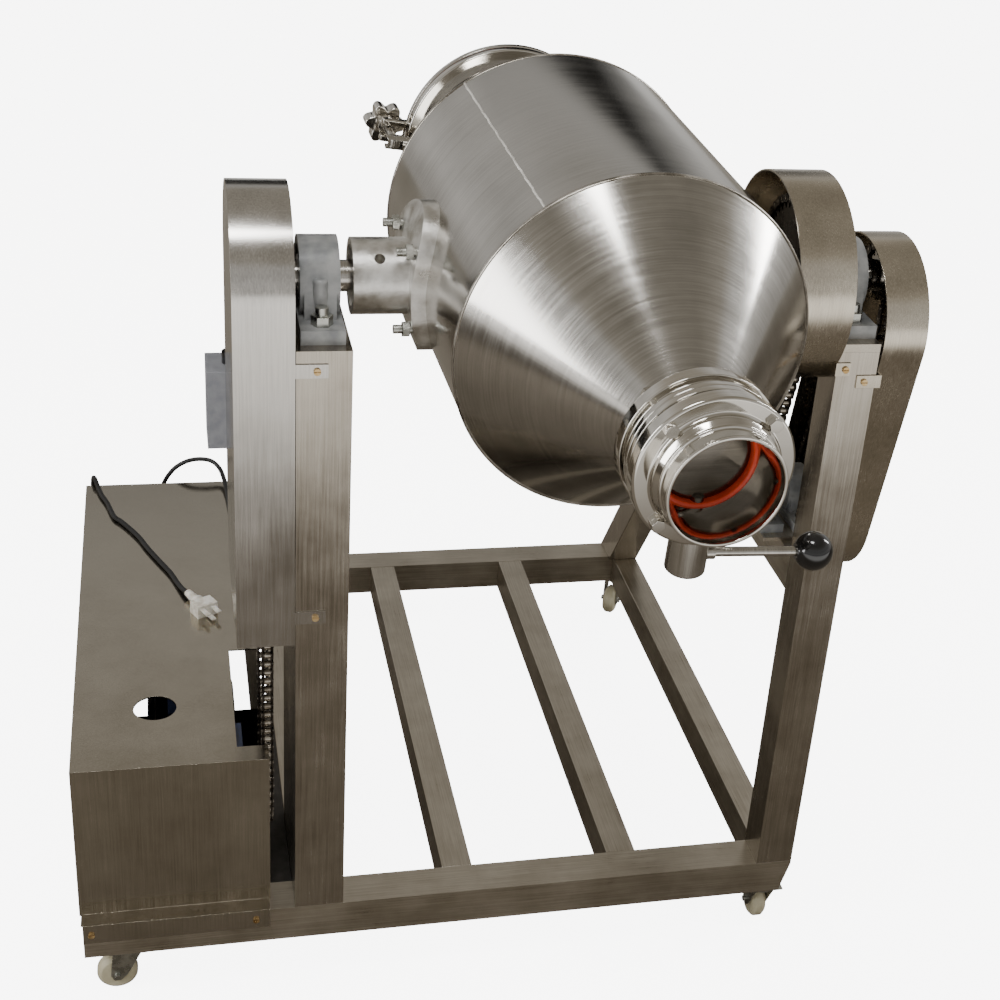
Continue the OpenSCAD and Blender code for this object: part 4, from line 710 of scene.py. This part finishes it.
ball_section = [(0.0, BALL_R)] + [(BALL_R * math.sin(a), BALL_R * math.cos(a))
                                  for a in (math.radians(7 * i) for i in range(1, 22))]
ball_section += [(9, -17.8), (8.2, -19), (5.2, -19), (5.2, -14), (0, -14)]
ball_place = LEVER @ Matrix.Translation((BALL_X * MM, HANDLE_Y * MM, 0)) @ Matrix.Rotation(QUARTER, 4, "Y")
ball = spun("ball_knob_moulded", ball_section, ball_place, 64, 0)
dress(ball, phenolic, "valve", "black_plastic", "ball_knob")
print("handle made")

# %% [markdown]
# A roller chain is one pair of links repeated. Each link has two waisted
# side plates and a roller on its pin. Every link is a few flat prisms, set
# along the belt line round the two sprockets at the chain's true pitch, with
# outer and inner plates by turns.

# %% Chain links along the belt line
PITCH, PLATE_R, WAIST, ROLLER_R, PIN_R = 12.7, 5.6, 3.9, 4.25, 1.9
ROLLER_HALF, PIN_HALF = 3.5, 7.5
OUTER_PLATE, INNER_PLATE = (5.3, 6.85), (3.6, 5.15)
TO_SIDE = Matrix(((0, 0, 1, 0), (1, 0, 0, 0), (0, 1, 0, 0), (0, 0, 0, 1)))


def wheel_radius(teeth):
    return PITCH / (2 * math.sin(math.pi / teeth))


def belt_point(s, r1, r2, dist):
    lean = math.asin((r1 - r2) / dist)
    run = dist * math.cos(lean)
    arc_b = r2 * (math.pi - 2 * lean)
    if s < run:
        return Vector((r1 * math.sin(lean) + s * math.cos(lean), r1 * math.cos(lean) - s * math.sin(lean)))
    if s < run + arc_b:
        a = math.pi / 2 - lean - (s - run) / r2
        return Vector((dist + r2 * math.cos(a), r2 * math.sin(a)))
    if s < 2 * run + arc_b:
        t = s - run - arc_b
        return Vector((dist + r2 * math.sin(lean) - t * math.cos(lean),
                       -r2 * math.cos(lean) - t * math.sin(lean)))
    a = math.radians(270) + lean - (s - 2 * run - arc_b) / r1
    return Vector((r1 * math.cos(a), r1 * math.sin(a)))


def add_prism(mesh, outline, low, high, matrix):
    rings = [[mesh.verts.new(matrix @ Vector((p[0] * MM, p[1] * MM, z * MM))) for p in outline]
             for z in (low, high)]
    count = len(outline)
    for i in range(count):
        j = (i + 1) % count
        mesh.faces.new((rings[0][i], rings[0][j], rings[1][j], rings[1][i]))
    mesh.faces.new(rings[1])
    mesh.faces.new(list(reversed(rings[0])))


def link_outline(length):
    end = [(math.cos(a) * PLATE_R, math.sin(a) * PLATE_R)
           for a in (math.radians(d) for d in (110, 145, 180, 215, 250))]
    far_end = [(length - x, -y) for x, y in end]
    return end + [(length / 2, -WAIST)] + far_end + [(length / 2, WAIST)]


def ring_outline(radius, sides):
    return [(math.cos(t) * radius, math.sin(t) * radius)
            for t in (math.tau * k / sides for k in range(sides))]


def chain(name, x, first, second, teeth_1, teeth_2):
    r1, r2 = wheel_radius(teeth_1), wheel_radius(teeth_2)
    a, b = Vector(first), Vector(second)
    dist = (b - a).length
    lean = math.asin((r1 - r2) / dist)
    whole = 2 * dist * math.cos(lean) + r2 * (math.pi - 2 * lean) + r1 * (math.pi + 2 * lean)
    count = 2 * round(whole / PITCH / 2)
    along = (b - a).normalized()
    up = Vector((-along.y, along.x))
    points = [belt_point(whole * (i + 0.5) / count, r1, r2, dist) for i in range(count)]
    world = [a + along * p.x + up * p.y for p in points]
    plates, rollers = bmesh.new(), bmesh.new()
    for i in range(count):
        p, q = world[i], world[(i + 1) % count]
        step = q - p
        turn = Matrix.Rotation(math.atan2(step.y, step.x), 4, "X") @ TO_SIDE
        at = Matrix.Translation(place(x, p.x, p.y)) @ turn
        plate = OUTER_PLATE if i % 2 else INNER_PLATE
        for side in (-1, 1):
            low, high = sorted((side * plate[0], side * plate[1]))
            add_prism(plates, link_outline(step.length), low, high, at)
        add_prism(rollers, ring_outline(ROLLER_R, 14), -ROLLER_HALF, ROLLER_HALF, at)
        add_prism(rollers, ring_outline(PIN_R, 8), -PIN_HALF, PIN_HALF, at)
    made = []
    for part, mesh, finish in (("plates", plates, chain_steel), ("rollers", rollers, roller_steel)):
        data = bpy.data.meshes.new(name + "_" + part)
        mesh.to_mesh(data)
        mesh.free()
        piece = bpy.data.objects.new(name + "_" + part, data)
        bpy.context.scene.collection.objects.link(piece)
        smooth(piece, 50)
        made.append(dress(piece, finish, "frame", "chain_steel", name))
    print(name, count, "links, faces", [len(m.data.polygons) for m in made])


AXIS, OUTPUT, LAYSHAFT = (AXIS_Y, AXIS_Z), (100, 230), (160, 610)
chain("left_chain", 227, AXIS, OUTPUT, 40, 17)
chain("inner_chain", 836, AXIS, LAYSHAFT, 44, 20)
chain("outer_chain", 950, LAYSHAFT, AXIS, 38, 17)

# %% [markdown]
# The machine was photographed in a workshop and then stood on white. The
# camera therefore sees a white floor, and the steel sees the workshop: a
# brown floor close by that is bright further out in front, light walls, and
# a dark stretch behind the drum. Light Path tells the two kinds of ray apart.

# %% Floor
WHITE_GLOW, DOOR_GLOW = 7.0, 1.3
FLOOR_REACH = 5.0
DOOR_START, DOOR_FULL = -1.5, -2.4
bpy.ops.object.select_all(action="DESELECT")
bpy.ops.mesh.primitive_plane_add(size=30.0)
floor = bpy.context.object
floor.name = "studio_floor"
floor_paint, floor_tree, floor_shader = blank("pale_floor")
floor_shader.inputs["Roughness"].default_value = 0.9
floor_spot = add(floor_tree, "ShaderNodeTexCoord").outputs["Object"]
floor_out = add(floor_tree, "ShaderNodeSeparateXYZ", {0: floor_spot}).outputs["Y"]
floor_reach = add(floor_tree, "ShaderNodeMapRange",
                  {"Value": floor_out, "From Min": -FLOOR_REACH, "From Max": FLOOR_REACH}).outputs[0]
workshop = ramp(floor_tree, floor_reach, [(0.15, linear("f2efe9")), (0.29, linear("e4e0d8")),
                                          (0.35, linear("857d72")), (0.5, linear("716a5f")),
                                          (0.7, linear("a39c91")), (0.9, linear("d9d5cd"))])
floor_ray = add(floor_tree, "ShaderNodeLightPath").outputs["Is Camera Ray"]
floor_tone = add(floor_tree, "ShaderNodeMix",
                 {"Factor": floor_ray, 6: workshop.outputs[0], 7: linear("f7f6f4")}, data_type="RGBA")
floor_tree.links.new(floor_tone.outputs[2], floor_shader.inputs["Base Color"])
floor_shader.inputs["Emission Color"].default_value = linear("ffffff")
floor_white = add(floor_tree, "ShaderNodeMath", {0: floor_ray, 1: WHITE_GLOW}, operation="MULTIPLY")
floor_door = add(floor_tree, "ShaderNodeMapRange",
                 {"Value": floor_out, "From Min": DOOR_START, "From Max": DOOR_FULL,
                  "To Min": 0.0, "To Max": DOOR_GLOW})
floor_glow = add(floor_tree, "ShaderNodeMath", {0: floor_white.outputs[0], 1: floor_door.outputs[0]},
                 operation="MAXIMUM")
floor_tree.links.new(floor_glow.outputs[0], floor_shader.inputs["Emission Strength"])
floor.data.materials.append(floor_paint)
print("floor laid")

# %% [markdown]
# The room is a sky of two height ramps. The first is the lit part of the
# workshop, the second the dark stretch with a bright foot that the drum's
# top mirrors. The compass angle of a ray chooses between them.

# %% Room
ROOM_GLOW = 0.95
world = bpy.data.worlds.new("studio_room")
bpy.context.scene.world = world
world.use_nodes = True
room = world.node_tree
room.nodes.clear()
way = add(room, "ShaderNodeTexCoord").outputs["Generated"]
parts = add(room, "ShaderNodeSeparateXYZ", {0: way}).outputs
lit_wall = ramp(room, parts["Z"], [(0.0, linear("bdbab5")), (0.12, linear("e4e2de")),
                                   (0.3, linear("c8c6c2")), (0.47, linear("d3d1cd")),
                                   (0.58, linear("b1aba0")), (0.8, linear("938d82")),
                                   (1.0, linear("a39d92"))])
dark_wall = ramp(room, parts["Z"], [(0.0, linear("fbfaf7")), (0.05, linear("f4f2ee")),
                                    (0.11, linear("1d1c1b")), (0.41, linear("232221")),
                                    (0.455, linear("d6d4d0")), (0.5, linear("c8c6c2")),
                                    (0.6, linear("a7a196")), (1.0, linear("a39d92"))])
compass = add(room, "ShaderNodeMath", {0: parts["X"], 1: parts["Y"]}, operation="ARCTAN2").outputs[0]
turned_to = add(room, "ShaderNodeMapRange",
                {"Value": compass, "From Min": -math.pi, "From Max": math.pi}).outputs[0]
NO, YES = (0.0, 0.0, 0.0, 1.0), (1.0, 1.0, 1.0, 1.0)
shaded = ramp(room, turned_to, [(0.455, NO), (0.485, YES), (0.555, YES), (0.58, NO)])
walls = add(room, "ShaderNodeMix",
            {"Factor": shaded.outputs[0], 6: lit_wall.outputs[0], 7: dark_wall.outputs[0]}, data_type="RGBA")
lit = add(room, "ShaderNodeBackground", {"Color": walls.outputs[2], "Strength": ROOM_GLOW})
seen = add(room, "ShaderNodeBackground", {"Color": linear("ffffff"), "Strength": WHITE_GLOW})
ray = add(room, "ShaderNodeLightPath").outputs["Is Camera Ray"]
mixed = add(room, "ShaderNodeMixShader", {0: ray, 1: lit.outputs[0], 2: seen.outputs[0]})
add(room, "ShaderNodeOutputWorld", {"Surface": mixed.outputs[0]})
print("room painted")

# %% [markdown]
# Three long soft lights give the bright streaks that bent sheet and tube
# show: one above, one on the left, and a narrow one on the right that draws
# the band down the cone.

# %% Soft lights


def softbox(name, at, aim, width, height, power):
    data = bpy.data.lights.new(name, "AREA")
    data.shape = "RECTANGLE"
    data.size, data.size_y = width, height
    data.energy = power
    lamp = bpy.data.objects.new(name, data)
    lamp.location = at
    lamp.rotation_euler = (Vector(aim) - Vector(at)).to_track_quat("-Z", "Y").to_euler()
    lamp.visible_camera = False
    bpy.context.scene.collection.objects.link(lamp)
    return lamp


softbox("top_softbox", at=(-0.5, -0.9, 3.2), aim=(0, 0, 0.8), width=0.9, height=0.45, power=26)
softbox("left_softbox", at=(-2.6, -1.0, 1.7), aim=(0, 0, 0.7), width=0.7, height=1.8, power=40)
softbox("right_softbox", at=(2.5, 0.1, 2.0), aim=(0.1, 0, 1.0), width=0.22, height=1.0, power=22)
print("studio lit")
